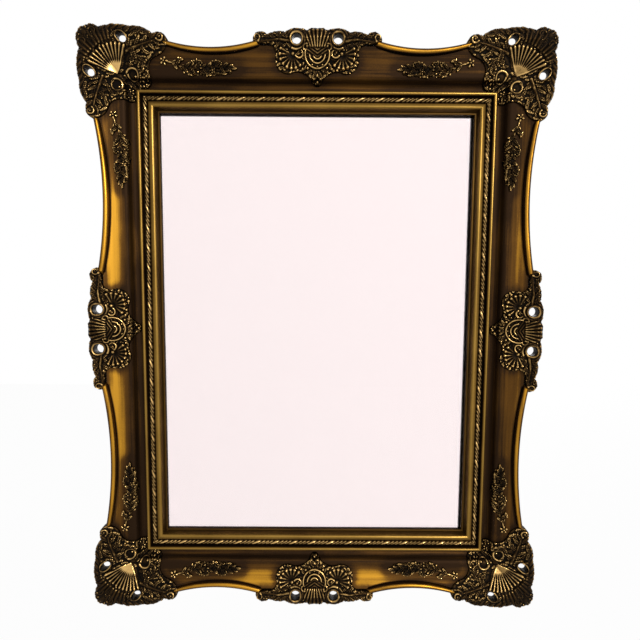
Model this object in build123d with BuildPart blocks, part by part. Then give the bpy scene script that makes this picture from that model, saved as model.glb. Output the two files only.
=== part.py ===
from build123d import *
import os
from math import asin, cos, degrees, pi, radians, sin

os.makedirs("parts", exist_ok=True)

# An ornate swept picture frame that hangs on a wall, in millimetres.
# X runs to the viewer's right, Z up, and the front faces -Y.
# The origin lies in the wall's plane, behind the middle of the opening.

# Opening, and what fills the rebate behind it
sight_width = 440.0
sight_height = 604.0
lip_cover = 6.0
pane_clearance = 1.0
glass_thickness = 2.0
insert_thickness = 1.5
filler_thickness = 5.5
backing_thickness = 3.0
rebate_depth = glass_thickness + insert_thickness + filler_thickness + backing_thickness

# Overall size over the ornament, and the stand-off from the wall
overall_width = 648.0
overall_height = 822.0
bumper_height = 6.0

# Inner rail, from the sight edge outwards, heights above its seat
lip_width = 3.0
lip_height = 7.0
slope_width = 4.0
ridge_height = 15.5
band_width = 7.0
band_height = 13.0
channel_width = 8.0
channel_height = 10.0
quirk_width = 1.0
fillet_width = 5.0
fillet_height = 19.0
fillet_side_height = 17.0

# Outer rail, depths in front of the back of the wood
cove_start_depth = 17.0
hollow_low_depth = 16.2
hollow_width = 14.0
hollow_end_depth = 20.0
shoulder_width = 6.0
shoulder_depth = 26.0
scoop_width = 45.0
scoop_sag = 0.9
scoop_sides = 2
scoop_end_depth = 37.0
undercut_reach = 44.0
undercut_depth = 26.0

# Swept bays between the ornaments, and the bead that runs along them
rim_end_inset = 19.5
side_bay_sag = 9.0
top_bay_sag = 8.0
rim_width = 7.5
rim_root_depth = 28.0
rim_side_depth = 36.5
rim_top_depth = 39.5
rim_lap = 8.0
wood_inset = 26.0

# Rope in the channel of the inner rail
rope_width = 7.4
rope_flat = 3.2
rope_height = 5.4
rope_shoulder = 2.6
rope_pitch = 27.5
rope_groove_width = 3.4
rope_groove_depth = 2.3
rope_slant = 40.0

# Cast ornaments
corner_arm = 122.0
corner_tail = 16.0
centre_half_length = 87.0
centre_inset = 3.5
ornament_thickness = 4.0
ornament_underside = 27.5
pierced_length = 15.0
pierced_width = 8.6
centre_hole_diameter = 12.6
centre_hole_spacing = 56.0
centre_hole_inset = 13.5
collar_width = 3.4
collar_rise = 3.0
relief_sink = 3.0
scroll_width = 4.4
scroll_rise = 4.0
spray_length = 98.0
spray_thickness = 3.0
spray_inset = 52.0
spray_start = 115.0
stem_width = 2.2

leaf_rise = 3.4
flower_rise = 2.6
volute_sides = 6
hole_sides = 8
outline_sides = 2
scroll_sides = 6
scroll_turn = 290.0

# Scallop shell of a corner
shell_radius = 36.0
shell_flutes = 11
shell_start_angle = 16.0
shell_fan_angle = 100.0
shell_hinge_depth = 35.5
shell_rim_depth = 46.0
shell_flute_depth = 2.6

# Fan lobes of a centre ornament
fan_radius = 15.5
fan_flutes = 6
fan_along = 38.0
fan_inset = 38.0
fan_start_angle = -30.0
fan_angle = 170.0
fan_rise = 5.0
fan_flute_depth = 1.9
shield_radius = 12.0
shield_inset = 44.0
shield_turn = 200.0
rib_width = 3.0
rib_length = 15.0
rib_pitch = 4.6
rib_rise = 3.6

# Turn buttons that hold the backing board
button_length = 30.0
button_width = 10.0
button_clip = 2.8
button_thickness = 1.5
button_setback = 8.0
button_gap = 0.2
button_screw_diameter = 3.0
button_screw_clearance = 0.08
button_screw_length = 10.0
button_head_diameter = 7.0
button_head_height = 1.8

# Strap hangers with their rings
strap_width = 14.0
strap_length = 37.0
strap_thickness = 1.2
strap_setback = 20.0
strap_height = 205.0
eye_diameter = 5.2
eye_height = 2.8
eye_gap = 0.1
ring_wire = 3.0
ring_width = 26.0
ring_length = 24.0
hanger_screw_diameter = 3.5
hanger_screw_length = 8.0
hanger_head_diameter = 6.5
hanger_head_height = 1.8
first_screw_drop = 10.0
second_screw_drop = 30.5

# Small fixings at the back
bumper_diameter = 12.0
bumper_setback = 25.0
bumper_sides = 8
screw_sides = 6
wire_sides = 6
ring_bow_sides = 6
nail_leg = 8.0
nail_thickness = 0.6
nail_height = 7.0
nail_share = 0.5

# One overrun serves every cut and every blank that is trimmed afterwards
overrun = 2.0

# Sizes that follow from those above
slip_width = lip_width + slope_width + band_width + channel_width + quirk_width + fillet_width
side_reach = (overall_width - sight_width) / 2
top_reach = (overall_height - sight_height) / 2
front_way = Vector(0, -1, 0)
outward_ways = {
    "top": Vector(0, 0, 1),
    "bottom": Vector(0, 0, -1),
    "left": Vector(-1, 0, 0),
    "right": Vector(1, 0, 0),
}
across = {side: sight_width / 2 if way.X else sight_height / 2 for side, way in outward_ways.items()}
along = {side: sight_height / 2 if way.X else sight_width / 2 for side, way in outward_ways.items()}
reach = {side: side_reach if way.X else top_reach for side, way in outward_ways.items()}
bay_sag = {side: side_bay_sag if way.X else top_bay_sag for side, way in outward_ways.items()}


def section_plane(side):
    """Plane of a side's moulding section: x runs outwards from the middle, y to the front."""
    outward = outward_ways[side]
    return Plane(origin=front_way * bumper_height, x_dir=outward, z_dir=outward.cross(front_way))


def plan_plane(side, depth):
    """Plane seen from the front at a depth: x runs outwards from the middle, y along the side."""
    return Plane(
        origin=front_way * (bumper_height + depth), x_dir=outward_ways[side], z_dir=front_way
    )


def corner_plane(depth):
    """Plane at the top right corner: x and y run inwards from the two outer edges."""
    corner = Vector(overall_width / 2, 0, overall_height / 2)
    return Plane(
        origin=corner + front_way * (bumper_height + depth), x_dir=(-1, 0, 0), z_dir=front_way
    )


def centre_plane(side, depth):
    """Plane at the middle of a side: x runs along it, y inwards from the ornament's outer edge."""
    outward = outward_ways[side]
    edge = outward * (across[side] + reach[side] - centre_inset)
    return Plane(
        origin=edge + front_way * (bumper_height + depth),
        x_dir=(outward * -1).cross(front_way),
        z_dir=front_way,
    )


def scaled(shares, size):
    """Points of an outline, from their shares of one size."""
    return [(size * x, size * y) for x, y in shares]


def oval_points(half_length, half_width, sides):
    """Outline of a round or an oval, drawn with flat sides."""
    turns = [2 * pi * index / sides for index in range(sides)]
    return [(half_length * cos(turn), half_width * sin(turn)) for turn in turns]


def round_points(radius, sides):
    """Outline of a round with flat sides, its corners on the circle."""
    return oval_points(radius, radius, sides)


def hole_points(radius, sides):
    """Outline of a hole with flat sides, drawn round a circle that it clears."""
    return round_points(radius / cos(pi / sides), sides)


def arc_points(start, middle, end):
    """Points along the arc through three points, without its last one, for an outline with flat sides."""
    with BuildLine() as arc:
        ThreePointArc(start, middle, end)
    spots = [arc.line @ (index / outline_sides) for index in range(outline_sides)]
    return [(spot.X, spot.Y) for spot in spots]


def band_points(radius, width, angle, sides):
    """Outline of an open ring that turns through an angle from x, with flat sides."""
    turns = [radians(angle) * index / sides for index in range(sides + 1)]
    outer = [((radius + width / 2) * cos(turn), (radius + width / 2) * sin(turn)) for turn in turns]
    inner = [((radius - width / 2) * cos(turn), (radius - width / 2) * sin(turn)) for turn in turns]
    return outer + inner[::-1]


def keep_mitred(side, depth):
    """Keep what lies between a side's two mitres, up to a depth in front of the wall."""
    near = across[side] - lip_width
    far = across[side] + reach[side] + overrun
    near_end = along[side] - lip_width
    far_end = along[side] + reach[side] + overrun
    with BuildSketch(plan_plane(side, -bumper_height)) as wedge:
        with BuildLine():
            Polyline((near, near_end), (far, far_end), (far, -far_end), (near, -near_end), close=True)
        make_face()
    extrude(wedge.sketch, amount=depth, mode=Mode.INTERSECT)


def mirrored(shape, about):
    """A mirrored copy of a finished piece."""
    with BuildPart() as copy:
        mirror(shape, about=about)
    return copy.part


def mirrored_sides(pieces):
    """The bottom and left pieces, mirrored from the top and right ones."""
    return {
        "bottom": mirrored(pieces["top"], Plane.XY),
        "left": mirrored(pieces["right"], Plane.YZ),
    }


quarter = ("top", "right")
full_depth = bumper_height + shell_rim_depth + scroll_rise + overrun


# V nails, driven across each mitre from behind
nail_place = slip_width * nail_share + lip_cover * (1 - nail_share)
with BuildPart() as corner_v_nails:
    for x_sign in (-1, 1):
        for z_sign in (-1, 1):
            inward = Vector(-x_sign, 0, 0)
            middle = Vector(
                x_sign * (sight_width / 2 + nail_place),
                -bumper_height,
                z_sign * (sight_height / 2 + nail_place),
            )
            with BuildSketch(Plane(origin=middle, x_dir=inward, z_dir=front_way)):
                for turn in (-1, 1):
                    with Locations(Location((0, 0), x_sign * z_sign * 45 + 45 * turn)):
                        Rectangle(nail_leg, nail_thickness, align=(Align.MIN, Align.CENTER))
            extrude(amount=nail_height)


# Places of the screws in the back of the wood
button_reach = lip_cover + button_setback
button_spots = []
for side in outward_ways:
    for sign in (-1, 1):
        button_spots.append((side, across[side] + button_reach, sign * along[side] / 2))
strap_across = sight_width / 2 + lip_cover + strap_setback

# Outer rails: straight mitred mouldings, swept in at the bays, with a bead along each bay
def bay_circle(side):
    """Middle and radius of the circle that a side's outer edge follows between ornaments."""
    start = centre_half_length
    end = along[side] - corner_tail
    half_chord = (end - start) / 2
    sag = bay_sag[side]
    radius = (half_chord ** 2 + sag ** 2) / (2 * sag)
    edge = across[side] + reach[side] - rim_end_inset - sag
    return edge + radius, (start + end) / 2, radius, degrees(asin(half_chord / radius))


def cove_line():
    """Reach and depth of the cove's points, from the slip to the outer edge of the scoop."""
    hollow_end = slip_width + hollow_width
    shoulder = hollow_end + shoulder_width
    points = [
        (slip_width, cove_start_depth),
        (slip_width + hollow_width / 2, hollow_low_depth),
        (hollow_end, hollow_end_depth),
        (hollow_end + shoulder_width / 3, (hollow_end_depth + shoulder_depth * 2) / 3),
        (shoulder, shoulder_depth),
    ]
    for index in range(1, scoop_sides + 1):
        share = index / scoop_sides
        rise = (scoop_end_depth - shoulder_depth) * share - 4 * scoop_sag * share * (1 - share)
        points.append((shoulder + scoop_width * share, shoulder_depth + rise))
    return points


outer_rails = {}
for side in quarter:
    inner = across[side]
    shoulder = inner + slip_width + hollow_width + shoulder_width
    with BuildPart() as outer_rail:
        with BuildSketch(section_plane(side)):
            with BuildLine():
                Polyline(
                    (inner + undercut_reach, 0),
                    (inner + lip_cover, 0),
                    (inner + lip_cover, rebate_depth),
                    (inner + slip_width, rebate_depth),
                    *[(inner + place, depth) for place, depth in cove_line()],
                    (shoulder + scoop_width, undercut_depth),
                    (inner + undercut_reach + undercut_depth, undercut_depth),
                    close=True,
                )
            make_face()
        extrude(amount=along[side] + reach[side], both=True)
        keep_mitred(side, full_depth)
        # The wood stops inside the ornaments' outer edges
        with BuildSketch(plan_plane("right", -bumper_height)):
            Rectangle(overall_width - 2 * wood_inset, overall_height - 2 * wood_inset)
        extrude(amount=full_depth, mode=Mode.INTERSECT)
        with BuildSketch(plan_plane(side, -bumper_height)):
            bay_across, bay_along, bay_radius, bay_angle = bay_circle(side)
            bead_angle = bay_angle + degrees(rim_lap / bay_radius)
            with Locations((bay_across, bay_along), (bay_across, -bay_along)):
                Circle(bay_radius + rim_width)
        extrude(amount=full_depth, mode=Mode.SUBTRACT)
        # Bead that follows the bay
        for sign in (-1, 1):
            hub = plan_plane(side, 0).from_local_coords(Vector(bay_across, sign * bay_along, 0))
            start_way = plan_plane(side, 0).x_dir.rotate(Axis((0, 0, 0), front_way), 180 - bead_angle)
            with BuildSketch(Plane(origin=hub, x_dir=start_way, z_dir=start_way.cross(front_way))):
                with BuildLine():
                    outer_edge = bay_radius
                    inner_edge = bay_radius + rim_width
                    Polyline(
                        (outer_edge, undercut_depth),
                        (inner_edge + overrun, undercut_depth),
                        (inner_edge + overrun, rim_root_depth),
                        (inner_edge, rim_root_depth),
                        (inner_edge, rim_side_depth),
                        (inner_edge - rim_width / 4, rim_top_depth),
                        (outer_edge + rim_width / 4, rim_top_depth),
                        (outer_edge, rim_side_depth),
                        close=True,
                    )
                make_face()
            revolve(axis=Axis(hub, front_way), revolution_arc=2 * bead_angle)
        # Pilot holes and the slots that the V nails cut
        with BuildSketch(plan_plane(side, 0)):
            for spot_side, spot_across, spot_along in button_spots:
                if spot_side == side:
                    with Locations((spot_across, spot_along)):
                        Polygon(*round_points(button_screw_diameter / 2, screw_sides), align=None)
        extrude(amount=button_screw_length, mode=Mode.SUBTRACT)
        if side == "right":
            with BuildSketch(plan_plane(side, 0)):
                for drop in (first_screw_drop, second_screw_drop):
                    with Locations((strap_across, strap_height + drop)):
                        Polygon(*round_points(hanger_screw_diameter / 2, screw_sides), align=None)
            extrude(amount=hanger_screw_length, mode=Mode.SUBTRACT)
        add(corner_v_nails.part, mode=Mode.SUBTRACT)
    outer_rails[side] = outer_rail.part
outer_rails.update(mirrored_sides(outer_rails))


# Inner rails: the slip with its lip, ridge, rope channel and fillet bead
inner_rails = {}
for side in quarter:
    inner = across[side]
    with BuildPart() as inner_rail:
        with BuildSketch(section_plane(side)):
            with BuildLine():
                ridge = inner + lip_width + slope_width
                band_end = ridge + band_width
                channel_end = band_end + channel_width
                fillet_start = channel_end + quirk_width
                outer_edge = inner + slip_width
                Polyline(
                    (outer_edge, rebate_depth),
                    (inner, rebate_depth),
                    (inner, rebate_depth + lip_height),
                    (inner + lip_width, rebate_depth + lip_height),
                    (ridge, rebate_depth + ridge_height),
                    (band_end, rebate_depth + band_height),
                    (band_end, rebate_depth + channel_height),
                    (fillet_start, rebate_depth + channel_height),
                    (fillet_start, rebate_depth + fillet_side_height),
                )
                ThreePointArc(
                    (fillet_start, rebate_depth + fillet_side_height),
                    ((fillet_start + outer_edge) / 2, rebate_depth + fillet_height),
                    (outer_edge, rebate_depth + fillet_side_height),
                )
                Line((outer_edge, rebate_depth + fillet_side_height), (outer_edge, rebate_depth))
            make_face()
        extrude(amount=along[side] + slip_width, both=True)
        keep_mitred(side, full_depth)
    inner_rails[side] = inner_rail.part
inner_rails.update(mirrored_sides(inner_rails))


# Rope strips: a half-round bar, faceted, with slanting grooves between its strands
rope_strips = {}
rope_middle = lip_width + slope_width + band_width + channel_width / 2
for side in quarter:
    middle = across[side] + rope_middle
    floor = rebate_depth + channel_height
    half_length = along[side] + rope_middle
    with BuildPart() as rope_strip:
        with BuildSketch(section_plane(side)):
            with BuildLine():
                Polyline(
                    (middle - rope_width / 2, floor),
                    (middle + rope_width / 2, floor),
                    (middle + rope_width / 2, floor + rope_shoulder),
                    (middle + rope_flat / 2, floor + rope_height),
                    (middle - rope_flat / 2, floor + rope_height),
                    (middle - rope_width / 2, floor + rope_shoulder),
                    close=True,
                )
            make_face()
        extrude(amount=half_length + rope_width, both=True)
        keep_mitred(side, full_depth)
        groove_count = int(2 * half_length / rope_pitch)
        slant = radians(rope_slant)
        top_plane = plan_plane(side, floor + rope_height)
        for index in range(groove_count):
            offset = (index - (groove_count - 1) / 2) * rope_pitch
            spot = top_plane.from_local_coords(Vector(middle, offset, 0))
            run = top_plane.x_dir * cos(slant) + top_plane.y_dir * sin(slant)
            with BuildSketch(Plane(origin=spot, x_dir=front_way.cross(run), z_dir=run)):
                with BuildLine():
                    Polyline(
                        (-rope_groove_width / 2, 0),
                        (rope_groove_width / 2, 0),
                        (0, -rope_groove_depth),
                        close=True,
                    )
                make_face()
            extrude(amount=rope_width, both=True, mode=Mode.SUBTRACT)
    rope_strips[side] = rope_strip.part
rope_strips.update(mirrored_sides(rope_strips))


# Beds of the cast ornaments: the cove's surface raised by the casting's thickness
def bed_line(thickness):
    """Reach and depth of the points that a bed's surface runs through."""
    cove = slip_width
    shoulder = cove + hollow_width + shoulder_width
    return [
        (cove + overrun, hollow_low_depth + thickness),
        (cove + hollow_width - thickness, hollow_end_depth + thickness),
        (shoulder, shoulder_depth + thickness + scoop_sag),
        (shoulder + scoop_width, scoop_end_depth + thickness),
        (top_reach + overrun, scoop_end_depth + thickness - scoop_sag),
    ]


def bed_depth(place):
    """Depth of the ornament's bed at a distance outwards from the sight edge."""
    line = bed_line(ornament_thickness)
    for (near, near_depth), (far, far_depth) in zip(line, line[1:]):
        if place <= far:
            return near_depth + (far_depth - near_depth) * (max(place, near) - near) / (far - near)
    return line[-1][1]


def make_bed(side, thickness):
    """A side's raised bed, mitred, with a flat underside where it hangs over the wood."""
    inner = across[side]
    with BuildPart() as bed:
        with BuildSketch(section_plane(side)) as section:
            with BuildLine():
                Polyline(
                    *[(inner + x, y) for x, y in bed_line(thickness)],
                    (inner + top_reach + overrun, ornament_underside),
                    (inner + undercut_reach + hollow_low_depth + shoulder_width, ornament_underside),
                    (inner + undercut_reach + hollow_low_depth + shoulder_width, undercut_depth - overrun),
                    (inner + slip_width + overrun, rebate_depth + lip_width / 3),
                    close=True,
                )
            make_face()
        extrude(section.sketch, amount=along[side] + reach[side], both=True)
        keep_mitred(side, full_depth)
    return bed.part


ornament_beds = {side: make_bed(side, ornament_thickness) for side in quarter}
spray_beds = {side: make_bed(side, spray_thickness) for side in quarter}


def add_boss(plane, place, angle, points, height):
    """Raise one boss of the casting on its outline."""
    with BuildSketch(plane) as foot:
        with Locations(Location(place, angle)):
            Polygon(*points, align=None)
    extrude(foot.sketch, amount=height)


def add_peak(plane, place, points, rise):
    """Raise a boss of flat faces that climb to a point, with the outline given where they meet the bed."""
    spread = (relief_sink + rise) / rise
    feet = [Vector(x * spread, y * spread, 0) for x, y in points]
    point = Vector(0, 0, relief_sink + rise)
    sheets = [feet] + [[near, far, point] for near, far in zip(feet, feet[1:] + feet[:1])]
    boss = Solid(Shell([Face(Wire.make_polygon(sheet)) for sheet in sheets]))
    add(plane.location * Location(place) * boss)


def leaf_points(length):
    """Outline of one lobe of a leaf, from its root along x."""
    return [(length * x, length * y) for x, y in leaf_outline_shares]


def carved_leaf(length):
    """One lobe of a leaf along x, its faces falling from a ridge along its middle."""
    half_width = length * leaf_outline_shares[1][1]
    with BuildPart() as leaf:
        with BuildSketch() as outline:
            Polygon(*leaf_points(length), align=None)
        extrude(outline.sketch, amount=relief_sink + leaf_rise)
        with BuildSketch(Plane.YZ) as roof:
            Polygon(
                (-half_width, 0),
                (half_width, 0),
                (half_width, relief_sink + leaf_rise * leaf_edge_share),
                (0, relief_sink + leaf_rise),
                (-half_width, relief_sink + leaf_rise * leaf_edge_share),
                align=None,
            )
        extrude(roof.sketch, amount=length, mode=Mode.INTERSECT)
    return leaf.part


def fluted_fan(radius, flutes, angle, base_depth, hinge_depth, rim_depth, flute_depth):
    """A fan of flutes that spread from the hinge, at the origin, and rise to a scalloped rim.

    Each flute has a valley on both sides and a ridge between them, which starts at the waist, where
    the smooth hollow ends. All faces are flat, so the fan is closed from its sheets.
    """
    hinge = Vector(0, 0, hinge_depth)
    hinge_foot = Vector(0, 0, base_depth)
    waist_depth = hinge_depth + (rim_depth - hinge_depth) * fan_waist_rise_share
    waists, rims, feet = [], [], []
    for index in range(2 * flutes + 1):
        valley = 1 - index % 2
        turn = radians(angle) * index / (2 * flutes)
        way = Vector(cos(turn), sin(turn), 0)
        reach_out = radius * (1 - fan_notch_share * valley)
        waists.append(way * (radius * fan_waist_share) + Vector(0, 0, waist_depth))
        rims.append(way * reach_out + Vector(0, 0, rim_depth - flute_depth * valley))
        feet.append(way * reach_out + Vector(0, 0, base_depth))
    sheets = [
        [hinge_foot] + feet,
        [hinge_foot, feet[0], rims[0], waists[0], hinge],
        [hinge_foot, feet[-1], rims[-1], waists[-1], hinge],
    ]
    for index in range(0, 2 * flutes, 2):
        sheets.append([hinge, waists[index], waists[index + 2]])
        sheets.append([waists[index], rims[index], rims[index + 1]])
        sheets.append([waists[index], rims[index + 1], waists[index + 2]])
        sheets.append([waists[index + 2], rims[index + 1], rims[index + 2]])
    for near, far, near_foot, far_foot in zip(rims, rims[1:], feet, feet[1:]):
        sheets.append([near, near_foot, far_foot, far])
    return Solid(Shell([Face(Wire.make_polygon(points)) for points in sheets]))


def star_points(radius):
    """Outline of a small flower with its petals."""
    return [
        (radius * size * cos(turn), radius * size * sin(turn))
        for index in range(2 * flower_petals)
        for turn, size in [(pi * index / flower_petals, 1 - flower_waist_share * (index % 2))]
    ]


fan_notch_share = 0.06
fan_waist_share = 0.45
fan_waist_rise_share = 0.3
leaf_edge_share = 0.15
leaf_outline_shares = [(0.0, 0.0), (0.4, 0.25), (1.0, 0.0), (0.4, -0.25)]
flower_petals = 5
flower_waist_share = 0.45

# Corner ornament, drawn from its outer corner in shares of its arm, one half of a mirrored pair
corner_edge_shares = [
    [(0.16, 1.0), (0.085, 0.935), (0.1, 0.845)],
    [(0.1, 0.845), (0.032, 0.73), (0.02, 0.6)],
    [(0.02, 0.6), (0.0, 0.42), (0.03, 0.25)],
]
corner_lobe_share = 0.045
corner_inner_shares = [
    [(0.16, 1.0), (0.25, 0.96), (0.31, 0.87)],
    [(0.31, 0.87), (0.37, 0.79), (0.48, 0.77)],
    [(0.48, 0.77), (0.59, 0.76), (0.63, 0.655)],
]
corner_tip_share = 0.65
corner_hole_shares = (0.135, 0.498)
shell_hinge_shares = (0.42, 0.5)
corner_scroll_shares = (0.42, 0.615)
corner_scroll_size_share = 0.066
corner_volute_shares = (0.145, 0.925)
corner_volute_size_share = 0.042
corner_flower_shares = [(0.59, 0.6), (0.46, 0.71), (0.72, 0.46)]
corner_flower_size_share = 0.042
corner_leaf_shares = [
    (0.2, 0.8, 118.0, 0.19),
    (0.11, 0.6, 85.0, 0.19),
    (0.07, 0.44, 262.0, 0.17),
    (0.2, 0.27, 235.0, 0.19),
]

corner_leaves = {share: carved_leaf(corner_arm * share) for *_, share in corner_leaf_shares}

# The outline runs down one arm's edge, round the outer lobe, up the other arm and back inside
edge_arcs = [scaled(arc, corner_arm) for arc in corner_edge_shares]
inner_arcs = [scaled(arc, corner_arm) for arc in corner_inner_shares]
corner_lobe = (corner_arm * corner_lobe_share, corner_arm * corner_lobe_share)
corner_tip = (corner_arm * corner_tip_share, corner_arm * corner_tip_share)
swapped_edge = [[(y, x) for x, y in arc[::-1]] for arc in edge_arcs[::-1]]
swapped_inner = [[(y, x) for x, y in arc] for arc in inner_arcs]
returned_inner = [arc[::-1] for arc in inner_arcs[::-1]]
corner_outline = [
    point
    for arc in (
        *edge_arcs,
        (edge_arcs[-1][-1], corner_lobe, swapped_edge[0][0]),
        *swapped_edge,
        *swapped_inner,
        (swapped_inner[-1][-1], corner_tip, returned_inner[0][0]),
        *returned_inner,
    )
    for point in arc_points(*arc)
]
scallop_shell = fluted_fan(
    shell_radius,
    shell_flutes,
    shell_fan_angle,
    ornament_underside,
    shell_hinge_depth,
    shell_rim_depth,
    shell_flute_depth,
)

with BuildPart() as corner_cartouche:
    for side in quarter:
        add(ornament_beds[side])
    # Leaves along both edges, hipped like carved lobes
    for share_p, share_q, turn, length_share in corner_leaf_shares:
        for place_p, place_q, angle in (
            (share_p, share_q, turn),
            (share_q, share_p, 90 - turn),
        ):
            place = (corner_arm * place_p, corner_arm * place_q)
            leaf = corner_arm * length_share
            tip = (place[0] + leaf * cos(radians(angle)) / 2, place[1] + leaf * sin(radians(angle)) / 2)
            bed = bed_depth(max(side_reach - tip[0], top_reach - tip[1]))
            foot = corner_plane(bed - relief_sink).location * Location(place, angle)
            add(foot * corner_leaves[length_share])
    # Scrolls, volutes and flowers
    for place_p, place_q in (corner_volute_shares, corner_volute_shares[::-1]):
        place = (corner_arm * place_p, corner_arm * place_q)
        bed = bed_depth(max(side_reach - place[0], top_reach - place[1]))
        volute = round_points(corner_arm * corner_volute_size_share, volute_sides)
        add_peak(corner_plane(bed - relief_sink), place, volute, scroll_rise)
    for share_p, share_q in corner_flower_shares:
        place = (corner_arm * share_p, corner_arm * share_q)
        bed = bed_depth(max(side_reach - place[0], top_reach - place[1]))
        flower = star_points(corner_arm * corner_flower_size_share)
        add_peak(corner_plane(bed - relief_sink), place, flower, flower_rise)
    for place_p, place_q in (corner_hole_shares, corner_hole_shares[::-1]):
        place = (corner_arm * place_p, corner_arm * place_q)
        bed = bed_depth(max(side_reach - place[0], top_reach - place[1]))
        with BuildSketch(corner_plane(ornament_underside)):
            with Locations(Location(place, 45)):
                Polygon(
                    *oval_points(
                        pierced_length / 2 + collar_width, pierced_width / 2 + collar_width, hole_sides
                    ),
                    align=None,
                )
        extrude(amount=bed + collar_rise - ornament_underside)
    # Outline of the casting
    with BuildSketch(corner_plane(-bumper_height)):
        Polygon(*corner_outline, align=None)
    extrude(amount=full_depth, mode=Mode.INTERSECT)
    # Scallop shell, hollow at its hinge and rising to its rim
    hinge = corner_plane(0).from_local_coords(
        Vector(corner_arm * shell_hinge_shares[0], corner_arm * shell_hinge_shares[1], 0)
    )
    fan_way = corner_plane(0).x_dir.rotate(Axis((0, 0, 0), front_way), 180 + shell_start_angle)
    add(Plane(origin=hinge, x_dir=fan_way, z_dir=front_way).location * scallop_shell)
    # C scroll below the hinge
    place = tuple(corner_arm * share for share in corner_scroll_shares)
    bed = bed_depth(side_reach - place[0])
    scroll = band_points(corner_arm * corner_scroll_size_share, scroll_width, scroll_turn, scroll_sides)
    add_boss(corner_plane(bed - relief_sink), place, 0, scroll, relief_sink + scroll_rise)
    # Pierced holes, clear of the wood
    with BuildSketch(corner_plane(-bumper_height)):
        for place_p, place_q in (corner_hole_shares, corner_hole_shares[::-1]):
            with Locations(Location((corner_arm * place_p, corner_arm * place_q), 45)):
                Polygon(*oval_points(pierced_length / 2, pierced_width / 2, hole_sides), align=None)
    extrude(amount=full_depth, mode=Mode.SUBTRACT)
    for side in quarter:
        add(outer_rails[side], mode=Mode.SUBTRACT)


# Centre ornament, drawn from the middle of its outer edge in shares of its half length
centre_edge_shares = [
    [(0.0, 0.0), (0.08, 0.0), (0.16, 0.035)],
    [(0.16, 0.035), (0.32, -0.0), (0.5, 0.06)],
    [(0.5, 0.06), (0.64, 0.05), (0.77, 0.1)],
    [(0.77, 0.1), (0.9, 0.055), (1.0, 0.184)],
]
centre_inner_shares = [
    [(1.0, 0.184), (0.9, 0.225), (0.8, 0.235)],
    [(0.8, 0.235), (0.7, 0.25), (0.64, 0.35)],
    [(0.64, 0.35), (0.61, 0.57), (0.41, 0.63)],
    [(0.41, 0.63), (0.29, 0.61), (0.2, 0.64)],
    [(0.2, 0.64), (0.12, 0.69), (0.07, 0.75)],
]
centre_tip_share = 0.79
centre_leaf_shares = [
    (0.52, 0.14, 10.0, 0.26),
    (0.52, 0.23, 16.0, 0.2),
    (0.2, 0.36, 80.0, 0.2),
]
centre_volute_shares = (0.87, 0.15)
centre_volute_size_share = 0.06
centre_bead_shares = [(0.64, 0.045), (0.7, 0.038), (0.75, 0.03)]

centre_leaves = {share: carved_leaf(centre_half_length * share) for *_, share in centre_leaf_shares}

# The outline runs out along one half's edge, back inside it, round the tip and over the other half
half_arcs = [scaled(arc, centre_half_length) for arc in centre_edge_shares + centre_inner_shares]
other_arcs = [[(-x, y) for x, y in arc[::-1]] for arc in half_arcs[::-1]]
centre_tip = (0, centre_half_length * centre_tip_share)
centre_outline = [
    point
    for arc in (*half_arcs, (half_arcs[-1][-1], centre_tip, other_arcs[0][0]), *other_arcs)
    for point in arc_points(*arc)
]

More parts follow.
